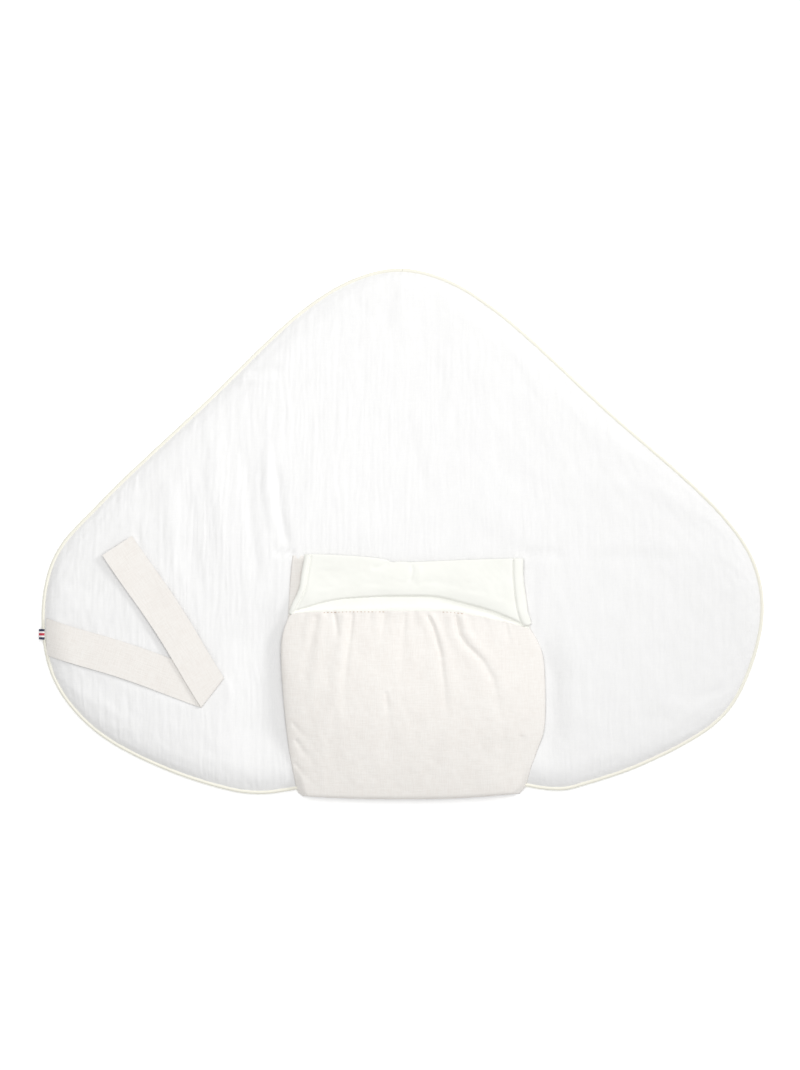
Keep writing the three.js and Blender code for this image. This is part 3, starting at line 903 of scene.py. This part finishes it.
# %% Pouch outline
POUCH_FOOT = [(-124, -328), (-80, -330.5), (-17, -332), (66, -331), (147, -325)]
POUCH_HEAD = [(-142, -108), (-137, -100), (-105, -97), (-40, -96), (30, -96), (68, -97), (85, -100.5),
              (116, -107), (142, -113), (161, -119.5)]
POUCH_LEFT = [(-124, -328), (-131, -321), (-135, -301), (-142, -262), (-148, -205), (-151, -150),
              (-149, -126), (-142, -108)]
POUCH_RIGHT = [(147, -325), (155, -314), (160, -294), (168, -272), (177, -245), (179, -210),
               (177, -160), (171, -138), (161, -119.5)]
POUCH_RISE = 22 * MM
MOUTH_SHARE = 0.5  # the mouth stands this share of the pouch's rise above the blanket
POUCH_DEPTH = 230 * MM
print("The pouch's outline has", len(POUCH_FOOT + POUCH_HEAD + POUCH_LEFT + POUCH_RIGHT), "points")


# %% Patches between four curves
def along_curve(points, share):
    """The places at shares of the way along a smooth curve through points in mm."""
    path, marks = even_path(smooth_path(np.array(points) * MM, 16), 1 * MM)
    return np.stack([np.interp(share, marks / marks[-1], column) for column in path.T], axis=-1)


def patch(foot, head, left, right, rows, columns):
    """A grid between four edge curves. Its rows run from foot to head and its columns from left to right."""
    u, v = np.linspace(0, 1, columns)[None, :, None], np.linspace(0, 1, rows)[:, None, None]
    low, high = along_curve(foot, u[0, :, 0])[None], along_curve(head, u[0, :, 0])[None]
    port, starboard = along_curve(left, v[:, 0, 0])[:, None], along_curve(right, v[:, 0, 0])[:, None]
    corners = mix(mix(low[:, :1], low[:, -1:], u), mix(high[:, :1], high[:, -1:], u), v)
    grid = mix(low, high, v) + mix(port, starboard, u) - corners
    return grid[..., 0], grid[..., 1], u[..., 0], v[..., 0]


# %% The pouch's shape
foot_marks = np.linspace(-160, 190, 50) * MM
foot_line = edge_heights(foot_marks)[0]


def resting_height(x, y):
    """The height that a piece lying on the blanket rests at, turning down past the blanket's foot."""
    past = y - np.interp(x, foot_marks, foot_line)
    over = np.minimum(smooth_face(past), FACE_TOP - 0.4 * MM)
    return np.where(past > 0, over, mix(3 * MM, over, ease(1 + past / (9 * MM))))


def pouch_crown(u, v):
    """How full the pouch is, from 0 at its edges to 1."""
    side_to_side = (1 - np.abs(2 * u - 1) ** 2.8) ** 0.6
    from_foot = mix(dome(v / 0.75), dome(v / 0.035), 0.2)
    to_mouth = mix(1, MOUTH_SHARE, ease((v - 0.45) / 0.55))
    return side_to_side * from_foot * to_mouth


def pouch_shape(rows, columns):
    """The linen as it would lie without gathers: its points, and its shares across and along."""
    x, y, u, v = patch(POUCH_FOOT, POUCH_HEAD, POUCH_LEFT, POUCH_RIGHT, rows, columns)
    ground = mix(4 * MM, FACE_TOP + 0.4 * MM, dome(v / 0.014))
    side = mix(resting_height(x, y) + 0.8 * MM, ground, ease(np.minimum(u, 1 - u) / 0.04))
    return x, y, side + POUCH_RISE * pouch_crown(u, v), u, v


print("In the middle the crown is", round(float(pouch_crown(0.5, 0.5)), 2), "of the pouch's rise")


# %% Let the linen settle
def settled_pouch(rows, columns, cap=5 * MM):
    """How far each point of the linen moves when it is let go."""
    x, y, z, u, v = pouch_shape(40, 56)
    edge = np.minimum.reduce(np.broadcast_arrays(u, 1 - u, v, 1 - v))
    hold = np.where(edge < 0.02, 1.0, mix(0.25, 0.02, ease(edge / 0.16)))
    start = stack(x, y, z + 0.5 * MM * value_noise(x / (14 * MM), y / (60 * MM), 51))
    moved = let_go("pouch_cloth", start, hold, (0.06, 0.02), 30, push=0.4, bending=0.25)
    shift = np.clip(moved - start, -cap, cap)
    print("The linen moved by up to", round(float(np.abs(shift).max() / MM), 2), "mm")
    return np.stack([spread(shift[..., axis], rows, columns) for axis in range(3)], axis=-1)


POUCH_ROWS, POUCH_COLUMNS = 165, 230

pouch_x, pouch_y, pouch_z, pouch_u, pouch_v = pouch_shape(POUCH_ROWS, POUCH_COLUMNS)
pouch_top = stack(pouch_x, pouch_y, pouch_z)
pouch_top = pouch_top + settled_pouch(POUCH_ROWS, POUCH_COLUMNS)

# %% Press in the pleats
PLEATS = [  # path in mm, width and height in mm
    ([(31, -99), (39, -115), (47.5, -147.5), (52.5, -191), (56, -236)], 2.4, -2.4),
    ([(37, -99), (46, -118), (55, -150), (60, -191), (63, -225)], 4.5, 1.6),
    ([(24, -99), (32, -120), (40, -150), (45, -190)], 5, 0.9),
    ([(66, -98), (71, -124.5), (80, -138), (99, -157), (112.5, -180), (118, -203), (122.5, -232)], 2.8, -3.2),
    ([(74, -99), (80, -122), (92, -138), (110, -157), (122, -182), (128, -208)], 5.5, 2.4),
    ([(58, -98), (63, -126), (72, -142), (90, -162), (103, -188), (110, -220)], 6, 1.4),
    ([(-84, -96), (-82, -110), (-79.5, -133)], 2.2, -2.4),
    ([(-61, -96), (-65.6, -134), (-71, -175), (-72.5, -226)], 3.0, -2.0),
    ([(-72, -97), (-75, -134), (-80, -175), (-82, -240)], 6, 1.6),
    ([(-96, -98), (-104, -150), (-112, -215)], 6, 1.0),
    ([(-106, -99), (-118, -160), (-122, -240)], 5, -1.1),
    ([(129, -109), (131, -120), (133, -136)], 2.4, -1.6),
    ([(4, -97), (2, -130), (-2, -185)], 3.2, -1.1),
    ([(-22, -97), (-24, -130), (-28, -160)], 3.0, -0.9),
    ([(-20, -195), (-17, -225), (-14, -260)], 3.4, -1.2),
    ([(-133, -255), (-120, -275), (-108, -282)], 3.2, -1.3),
    ([(-136, -235), (-124, -250), (-114, -256)], 3.0, -1.0),
    ([(-134, -285), (-122, -300), (-112, -304)], 3.0, -1.0),
    ([(150, -250), (140, -285), (138, -305)], 6, -0.9),
]
from_head = (1 - pouch_v) * POUCH_DEPTH
pouch_edge = np.minimum.reduce(np.broadcast_arrays(pouch_u * 6, (1 - pouch_u) * 6, pouch_v * 8, 1.0))
pouch_relief = sum(pleat(pouch_x, pouch_y, path, w * MM, h * MM) for path, w, h in PLEATS)
gathers = value_noise(pouch_u * 46, from_head / (70 * MM), 61) * np.exp(-from_head / (26 * MM))
crumple = value_noise(pouch_x / (17 * MM), pouch_y / (30 * MM), 62)
crumple = crumple + 0.5 * value_noise(pouch_x / (7 * MM), pouch_y / (13 * MM), 63)
pouch_relief = pouch_relief + MM * (0.9 * gathers + 0.38 * crumple * ease(pouch_edge))
at_mouth = ease(from_head / (2 * MM))
pouch_top[..., 2] += pouch_relief * mix(0.5, 1, at_mouth)
print("The pouch is", round(float(pouch_top[..., 2].max() / MM), 1), "mm high")

# %% Pouch front
POUCH_WALL = 3.6 * MM
POUCH_HEM = 1.9 * MM

pouch_normals = normals_of(pouch_top)
wall = mix(POUCH_HEM, POUCH_WALL, ease(pouch_edge) * ease(from_head / (12 * MM)))[..., None]
pouch_under = pouch_top - wall * pouch_normals
pouch_under[..., 2] = np.maximum(pouch_under[..., 2], 0.6 * MM)
pouch = closed_piece("pouch_front_linen", pouch_top, pouch_under, stack(pouch_x, pouch_y, 0))
pouch.data.materials.append(LINEN)
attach(pouch, "centre")
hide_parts("pouch_front", "pouch_wadding", "pouch_lining")
print("Pouch front:", len(pouch.data.polygons), "faces")

# %% [markdown]
# The pouch's back panel is a second linen cloth that lies on the blanket, and shows as a strip at the left of
# the cuff. It is thin and nearly flat, so one patch with faint ripples is enough.

# %% Pouch back panel
PANEL_LIFT = 0.45 * MM
PANEL_THICK = 0.7 * MM
PANEL_FOOT = [(-127, -316), (0, -317), (149, -314)]
PANEL_HEAD = [(-136.5, -27), (-112, -28), (-60, -35), (60, -42), (148, -38)]
PANEL_LEFT = [(-127, -316), (-139, -250), (-144, -180), (-142, -105), (-139.5, -60), (-136.5, -27)]
PANEL_RIGHT = [(149, -314), (164, -250), (170, -180), (160, -118), (154.5, -75), (148, -38)]

panel_x, panel_y, _, _ = patch(PANEL_FOOT, PANEL_HEAD, PANEL_LEFT, PANEL_RIGHT, 130, 110)
ripple = 0.25 * MM * np.abs(value_noise(panel_x / (9 * MM), panel_y / (26 * MM), 71))
panel_under = stack(panel_x, panel_y, resting_height(panel_x, panel_y) + PANEL_LIFT)
panel_top = panel_under + stack(0, 0, PANEL_THICK + ripple)
panel = closed_piece("pouch_back_linen", panel_top, panel_under, stack(panel_x, panel_y, 0))
panel.data.materials.append(LINEN)
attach(panel, "centre")
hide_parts("pouch_back")
print("Pouch panel:", len(panel.data.polygons), "faces")

# %% [markdown]
# ## The cuff
#
# The cuff is a band of thin jersey folded double, so it is smooth, a little puffy, and rounded at its top
# fold. It climbs from a hollow line up to the pouch's thick mouth, and that hollow is the shadowed arc above
# the linen. A simulation alone wouldn't put the hollow in its place, so a formula gives the height first, and
# the jersey is then let go for a short while. Each end is bound with a folded strip of the same jersey.

# %% Cuff outline
CUFF_FOOT = [(-139.5, -101.5), (-105, -99.5), (-40, -98.5), (30, -98.5), (68, -99.5), (85, -103),
             (116, -109.5), (142, -115.5), (159, -120.5)]
CUFF_HEAD = [(-115.5, -25), (-85, -26), (-54, -27.8), (-24, -31), (-12.5, -35), (-2, -34.2), (15, -35),
             (60, -33), (100, -31.5), (138, -30.5), (151, -30.5)]
CUFF_LEFT = [(-139.5, -101.5), (-133, -90), (-126, -74), (-121, -52), (-115.5, -25)]
CUFF_RIGHT = [(159, -120.5), (156.5, -95), (153, -70), (151, -50), (151, -30.5)]
HOLLOW = np.array([(-142, -99), (-119, -92), (-84, -83), (-35.5, -79), (8, -78), (43, -79), (77.5, -87),
                   (112.5, -97), (140, -108), (162, -118)]) * MM
HOLLOW_Z = FACE_TOP + 2.1 * MM
CUFF_THICK = 1.9 * MM
CUFF_DEPTH = 70 * MM
CUFF_ROWS, CUFF_COLUMNS = 110, 240
BINDINGS = {  # path in mm and half width
    "left": ([(-117.5, -25.5), (-121.5, -50), (-125, -70), (-133, -87), (-138.5, -100)], 3.6 * MM),
    "right": ([(144.5, -31), (144.5, -50), (146, -70), (149.5, -94), (156, -114)], 6.2 * MM),
}

mouth_x, mouth_y, mouth_z = pouch_top[-1].T
hollow_line = smooth_path(HOLLOW, 12)
print("The pouch's mouth is up to", round(float(mouth_z.max() / MM), 1), "mm high")


# %% Cuff height
def cuff_height(x, y):
    """The jersey's height: a climb from the hollow to the mouth, and puffy cloth above the hollow."""
    mouth = np.interp(x, mouth_x, mouth_y)
    hollow = np.minimum(np.interp(x, *hollow_line.T), mouth + 20 * MM)
    seam_z = np.interp(x, mouth_x, mouth_z) - 1.6 * MM
    low_z = np.minimum(HOLLOW_Z + 1.2 * MM * value_noise(x / (50 * MM), x * 0, 81), seam_z)
    up_to_mouth = np.clip((hollow - y) / np.maximum(hollow - mouth, 1 * MM), 0, 1)
    climb = mix(low_z, seam_z, up_to_mouth ** 5)
    puff = 2.8 * MM * dome((y - hollow) / (3 * MM)) + 3.4 * MM * dome((y - hollow) / (17 * MM))
    puff += 1.8 * MM * value_noise(x / (48 * MM), y / (28 * MM), 82)
    puff += crease(x, y, [(12, -36), (13, -48), (9, -62)], 2.4 * MM, -0.9 * MM)
    puff += crease(x, y, [(20, -36), (22, -50), (19, -64)], 4 * MM, 0.6 * MM)
    puff += crease(x, y, [(-100, -75), (-40, -62), (40, -60), (110, -76)], 8 * MM, -1.0 * MM)
    puff += crease(x, y, [(-14, -34), (-24, -40), (-40, -44)], 3 * MM, -0.8 * MM)
    ends = ease((x + 140 * MM) / (26 * MM)) * ease((158 * MM - x) / (30 * MM))
    for path, half_width in BINDINGS.values():
        inner_edge = np.array(path) + (0.9 * half_width / MM + 1, 0) * np.sign(0 - np.array(path)[:, :1])
        puff += crease(x, y, inner_edge, 1.5 * MM, -1.3 * MM, fade=0.05)
    return climb + np.where(y > hollow, puff, 0) * mix(0.35, 1, ends)


def cuff_grid(rows, columns):
    """The cuff by formula: its points, and its shares across and along."""
    x, y, u, v = patch(CUFF_FOOT, CUFF_HEAD, CUFF_LEFT, CUFF_RIGHT, rows, columns)
    return x, y, cuff_height(x, y), u, v


print("The hollow is", round(HOLLOW_Z / MM, 1), "mm high")


# %% Let the jersey settle
def settled_cuff(rows, columns, cap=1.6 * MM):
    """How far each point of the cuff rises or falls."""
    x, y, z, u, v = cuff_grid(16, 50)
    edge = np.minimum.reduce(np.broadcast_arrays(u, 1 - u, v, 1 - v))
    start = stack(x, y, z)
    moved = let_go("cuff_cloth", start, np.where(edge < 0.01, 1.0, 0.1), (0.025, 0.03), 20, push=0.2)
    rise = np.clip(moved[..., 2] - start[..., 2], -cap, cap)
    print("The jersey rose and fell by up to", round(float(np.abs(rise).max() / MM), 2), "mm")
    return spread(rise, rows, columns)


cuff_x, cuff_y, cuff_z, _, cuff_v = cuff_grid(CUFF_ROWS, CUFF_COLUMNS)
cuff_z = cuff_z + settled_cuff(CUFF_ROWS, CUFF_COLUMNS)

# %% Cuff
from_top = (1 - cuff_v) * CUFF_DEPTH
cuff_z = cuff_z - 0.7 * MM * (1 - dome(from_top / (1.6 * MM)))
cuff_top = stack(cuff_x, cuff_y, cuff_z)
cuff_wall = CUFF_THICK * dome(0.35 + from_top / (2.5 * MM))[..., None]
cuff_under = cuff_top - cuff_wall * normals_of(cuff_top)
cuff = closed_piece("cuff_jersey", cuff_top, cuff_under, stack(cuff_x, cuff_y, 0))
cuff.data.materials.append(JERSEY)
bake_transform(cuff)
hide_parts("cuff_inner", "cuff_outer")
print("Cuff:", len(cuff.data.polygons), "faces")


# %% Bindings at the cuff's ends
STRIP_SUNK = 0.9 * MM  # how far a strip reaches into the cloth it is sewn on
BINDING_HEIGHT = 2.0 * MM


def raised_strip(name, path, half_width, height, ground, sides=12):
    """A strip with a rounded top that follows a path over some ground."""
    line, marks = even_path(smooth_path(np.array(path) * MM, 16), 1.2 * MM)
    along = np.gradient(line, axis=0)
    along /= np.linalg.norm(along, axis=1)[:, None]
    aside = np.stack([along[:, 1], -along[:, 0]], axis=1)
    t = np.linspace(-1, 1, sides)
    x = line[:, :1] + aside[:, :1] * t * half_width
    y = line[:, 1:] + aside[:, 1:] * t * half_width
    low = ground(x, y)
    top = low + height * (1 - np.abs(t)[None] ** 2.6) ** 0.6
    place = stack(marks[:, None], t[None] * half_width, 0)
    over, under = stack(x, y, top), stack(x, y, low - STRIP_SUNK)
    return closed_piece(name, over[:, ::-1], under[:, ::-1], place[:, ::-1])


for side, (path, half_width) in BINDINGS.items():
    name = "cuff_binding_" + side + "_jersey"
    binding = raised_strip(name, path, half_width, BINDING_HEIGHT, cuff_height)
    binding.data.materials.append(JERSEY)
    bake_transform(binding)
    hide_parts("cuff_binding_" + side)
    print(binding.name, len(binding.data.polygons), "faces")

# %% [markdown]
# ## The strap
#
# The strap is flat linen. Two flat pieces laid over each other would show a gap at the crease. So it is made
# in one length and then folded round a small roll at its slanted crease, which keeps its length and width
# true. It swings at its seam and unfolds at its crease. A mesh can bend at one joint only, so it is cut
# between the two, where nothing bends and the cut can't be seen.

# %% Strap shape
STRAP_THICK = 1.2 * MM
STRAP_LIFT = 1.1 * MM
STRAP_CUT = 60 * MM
STRAP_BOW = 3 * MM  # how far the root curves aside in its middle
TAIL_BOW = 3.2 * MM  # and the tail
STRAP_ROWS, STRAP_COLUMNS = 34, 330

tail_low, tail_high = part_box("strap_tail")
root_mid, tail_mid = FACE_TOP + STRAP_LIFT, (tail_low.z + tail_high.z) / 2
strap_roll = (tail_mid - root_mid) / 2


def strap_middle():
    """The middle of the strap's thickness as a grid, and how far along and across the cloth each point is."""
    t = np.linspace(-1, 1, STRAP_ROWS)[:, None]
    full = strap_length + STRAP_TAIL + math.pi * strap_roll
    s = np.linspace(0, full, STRAP_COLUMNS)[None]
    s = s + t * STRAP_HALF * math.tan(STRAP_ANGLE) * (1 - ease(s / STRAP_CUT))
    aside = np.array([-root_run[1], root_run[0]])
    bow = STRAP_BOW * np.sin(math.pi * np.clip(s / strap_length, 0, 1)) ** 2
    flat = strap_seam + s[..., None] * root_run + (t * STRAP_HALF + bow)[..., None] * aside
    beyond = (flat - strap_crease) @ fold_out
    roll = np.clip(beyond / strap_roll, 0, math.pi)
    after = np.maximum(beyond - math.pi * strap_roll, 0)
    reach = np.where(beyond < 0, beyond, strap_roll * np.sin(roll) - after)
    place = flat + (reach - beyond)[..., None] * fold_out
    tail_share = np.clip(after / (STRAP_TAIL * abs(tail_run @ fold_out)), 0, 1)
    tail_bow = TAIL_BOW * np.sin(math.pi * tail_share) ** 2
    place = place + tail_bow[..., None] * np.array([0.84, 0.54])
    low = smooth_face(inset_of(place[..., 0], place[..., 1])) + STRAP_LIFT
    z = low + strap_roll * (1 - np.cos(roll))
    z += 0.1 * MM * value_noise(s / (17 * MM), t * 1.5, 91)
    z += 0.7 * MM * tail_share * (1 + value_noise(s / (60 * MM), t, 92))
    return stack(place[..., 0], place[..., 1], z), stack(s, t * STRAP_HALF, 0)


strap_mid, strap_place = strap_middle()
strap_normals = normals_of(strap_mid)
across_share = 1 - np.abs(np.linspace(-1, 1, STRAP_ROWS))
edge_share = np.clip(across_share * STRAP_HALF / (1.6 * MM), 0, 1)[:, None]
strap_half_thick = (STRAP_THICK / 2 * mix(0.45, 1, dome(edge_share)))[..., None]
strap_over = strap_mid + strap_half_thick * strap_normals
strap_under = strap_mid - strap_half_thick * strap_normals
print("The strap's crease is a roll of", round(strap_roll / MM, 2), "mm radius")


# %% Strap pieces
def strap_piece(name, part, flat_length, bodies, start, end, *nodes):
    """One of the strap's two pieces, on one side of the cut, baked in place."""
    piece = closed_piece(name, strap_over[:, part], strap_under[:, part], strap_place[:, part])
    set_normals(piece, strap_normals[:, part], -strap_normals[:, part])
    piece.data.materials.append(LINEN)
    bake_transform(piece)
    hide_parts(*nodes)
    print(piece.name, len(piece.data.polygons), "faces")


cut = int(round(STRAP_CUT / (strap_length + STRAP_TAIL) * STRAP_COLUMNS))
swing_x = swing["pos_m"][0]
strap_piece(
    "strap_seam_linen", slice(0, cut + 1), STRAP_CUT, ("left_wing", "strap_root"),
    (swing_x - 4 * MM, 0, 0), (swing_x + 8 * MM, 0, 0), "strap_root")
strap_piece(
    "strap_linen", slice(cut, None), strap_length + STRAP_TAIL - STRAP_CUT, ("strap_root", "strap_tail"),
    (0, 0, mix(root_mid, tail_mid, 0.3)), (0, 0, mix(root_mid, tail_mid, 0.66)), "strap_root", "strap_tail")

# %% [markdown]
# Two woven patches close the wrap. The hooks are under the strap's free end, hidden while it is folded back,
# and the loops are on the back of the wing. Hooks could be modelled one by one, but they are far too small to
# be seen, so a thin plate with a little uneven nap is enough.


# %% Fastener patches
HOOK_LENGTH, HOOK_WIDTH = 48 * MM, 32 * MM
HOOK_THICK, HOOK_SUNK = 1.5 * MM, 0.6 * MM  # it reaches up to the strap that it is sewn on
LOOP_LOW, LOOP_HIGH = 0.15 * MM, 0.95 * MM


def patch_plate(name, centre, run, length, width, low, high):
    """A thin woven patch, lying flat with its length along run."""
    t, s = np.linspace(-0.5, 0.5, 24)[:, None], np.linspace(-0.5, 0.5, 40)[None]
    perp = np.array([-run[1], run[0]])
    x = centre[0] + s * length * run[0] + t * width * perp[0]
    y = centre[1] + s * length * run[1] + t * width * perp[1]
    nap = 0.12 * MM * value_noise(x / (1.5 * MM), y / (1.5 * MM), 95)
    place = stack(s * length, t * width, 0)
    piece = closed_piece(name, stack(x, y, high + nap), stack(x, y, low - nap), place)
    piece.data.materials.append(TAPE)
    print(piece.name, len(piece.data.polygons), "faces")
    return piece


def middle_of(low, high):
    return (low.x + high.x) / 2, (low.y + high.y) / 2


hook_low, hook_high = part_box("hook_patch")
hook_top = hook_high.z + HOOK_SUNK
hooks = patch_plate(
    "strap_hook_tape", middle_of(hook_low, hook_high), tail_run, HOOK_LENGTH, HOOK_WIDTH,
    hook_top - HOOK_THICK, hook_top)
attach(hooks, "strap_tail")
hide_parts("hook_patch")

loops = patch_plate(
    "wing_loop_tape", middle_of(loop_low, loop_high), np.array([1.0, 0.0]),
    loop_high.x - loop_low.x, loop_high.y - loop_low.y, LOOP_LOW, LOOP_HIGH)
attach(loops, "left_wing")
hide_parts("loop_patch")

# %% [markdown]
# ## The side label
#
# A short striped ribbon is folded over the piping at the left edge, and caught in its seam. A bent plane
# would be quick, but it has no edge, so a thin closed piece follows a profile over the piping and back under
# it. It is a plain ribbed ribbon, so its material is the jersey's ribs with five stripes.


# %% Ribbon material
def make_ribbon():
    """A ribbed ribbon with stripes across it."""
    material = bpy.data.materials.new("striped_ribbon")
    material.use_nodes = True
    tree = material.node_tree
    shader = tree.nodes["Principled BSDF"]
    shader.inputs["Roughness"].default_value = 0.6
    place = tree.nodes.new("ShaderNodeAttribute")
    place.attribute_name = "cloth_place"
    split = tree.nodes.new("ShaderNodeSeparateXYZ")
    wire(tree, place.outputs["Vector"], split.inputs[0])
    stripes = tree.nodes.new("ShaderNodeValToRGB")
    stripes.color_ramp.interpolation = "CONSTANT"
    navy, white, red = (0.015, 0.02, 0.07, 1), (0.85, 0.85, 0.85, 1), (0.55, 0.03, 0.06, 1)
    elements = stripes.color_ramp.elements
    elements[0].color, elements[1].position, elements[1].color = navy, 0.22, white
    for position, colour in ((0.38, red), (0.62, white), (0.78, navy)):
        elements.new(position).color = colour
    wire(tree, split.outputs["Y"], stripes.inputs["Fac"])
    wire(tree, stripes.outputs["Color"], shader.inputs["Base Color"])
    ribs = tree.nodes.new("ShaderNodeGroup")
    ribs.node_tree = KNIT
    ribs.inputs["Columns per metre"].default_value = 2200.0
    wire(tree, place.outputs["Vector"], ribs.inputs["Place"])
    relief = tree.nodes.new("ShaderNodeBump")
    relief.inputs["Strength"].default_value = 0.4
    relief.inputs["Distance"].default_value = 0.2 * MM
    wire(tree, ribs.outputs["Height"], relief.inputs["Height"])
    wire(tree, relief.outputs["Normal"], shader.inputs["Normal"])
    return material


RIBBON = make_ribbon()
print(RIBBON.name, "has", len(RIBBON.node_tree.nodes), "nodes")

# %% Folded ribbon
LABEL_ROWS = 26
LABEL_HALF_THICK = 0.25 * MM
label_low, label_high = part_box("side_label")
LABEL_PATH = [(-446.4, 7.3), (-448.2, 7.75), (-450.6, 7.2), (-452.6, 5.9), (-453.6, 4.8), (-452.8, 3.6),
              (-450.6, 2.3), (-448.4, 1.7), (-446.4, 2.2)]  # x and z in mm, over the piping and back under it
profile, label_marks = even_path(smooth_path(np.array(LABEL_PATH) * MM, 10), 0.3 * MM)
label_run = np.gradient(profile, axis=0)
label_run /= np.linalg.norm(label_run, axis=1)[:, None]
label_out = np.stack([-label_run[:, 1], label_run[:, 0]], axis=1) * LABEL_HALF_THICK
label_y = np.linspace(label_low.y, label_high.y, LABEL_ROWS)[:, None]
label_place = stack(label_marks[None], np.linspace(0, 1, LABEL_ROWS)[:, None], 0)


def label_face(line):
    """One face of the ribbon, from its profile in x and z."""
    return stack(line[None, :, 0], label_y, line[None, :, 1])[:, ::-1]


outer, inner = label_face(profile + label_out), label_face(profile - label_out)
label = closed_piece("side_label_ribbon", outer, inner, label_place[:, ::-1])
label.data.materials.append(RIBBON)
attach(label, "left_wing")
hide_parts("side_label")
print("The ribbon is", round(float(label_marks[-1] / MM), 1), "mm long")

# %% [markdown]
# ## Stitches
#
# The gathering threads at the pouch's mouth are brown, and show as short dashes on the seam. One long thread
# woven in and out would be truer, but most of it would be hidden. So each dash is a small bent thread, made
# as a thin tube that dips into the cloth at both ends.


# %% Stitches
STITCH_LENGTH, STITCH_GAP = 3.0 * MM, 1.6 * MM
STITCH_RADIUS, STITCH_LIFT = 0.36 * MM, 0.6 * MM
STITCH_STEPS, STITCH_SIDES = 6, 6


def mouth_ground(x):
    """The height at which a thread enters the linen."""
    return np.interp(x, mouth_x, mouth_z) - 0.2 * MM


def stitches(name, path):
    """Dashes of thread on the pouch's mouth, along a path in mm, joined into one piece."""
    line, marks = even_path(smooth_path(np.array(path) * MM, 12), 0.5 * MM)
    arch = np.sin(np.linspace(0, math.pi, STITCH_STEPS))
    radii = STITCH_RADIUS * mix(0.5, 1, arch)[:, None]
    points, faces = [], []
    for start in np.arange(0, marks[-1] - STITCH_LENGTH, STITCH_LENGTH + STITCH_GAP):
        s = np.linspace(start, start + STITCH_LENGTH, STITCH_STEPS)
        x, y = np.interp(s, marks, line[:, 0]), np.interp(s, marks, line[:, 1])
        z = mouth_ground(x) + STITCH_LIFT * arch - STITCH_RADIUS
        first = len(points) * STITCH_STEPS * STITCH_SIDES
        points.append(tube_grid(np.column_stack([x, y, z]), radii, STITCH_SIDES))
        faces.append(tube_faces(STITCH_STEPS, STITCH_SIDES, first))
    points = np.concatenate(points)
    return new_piece(name, points, np.concatenate(faces).tolist(), points)


GATHERED = [
    [(-112, -98.4), (-84, -97.5), (-60, -97), (-18, -97)],
    [(50, -97.2), (62, -97.6), (76, -99.4)],
]
for number, path in enumerate(GATHERED, 1):
    thread = stitches(f"gather_stitches_{number}", path)
    thread.data.materials.append(THREAD)
    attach(thread, "centre")
    print(thread.name, len(thread.data.polygons), "faces")

# %% [markdown]
# ## Finish

# %% Finish
bpy.context.view_layer.update()
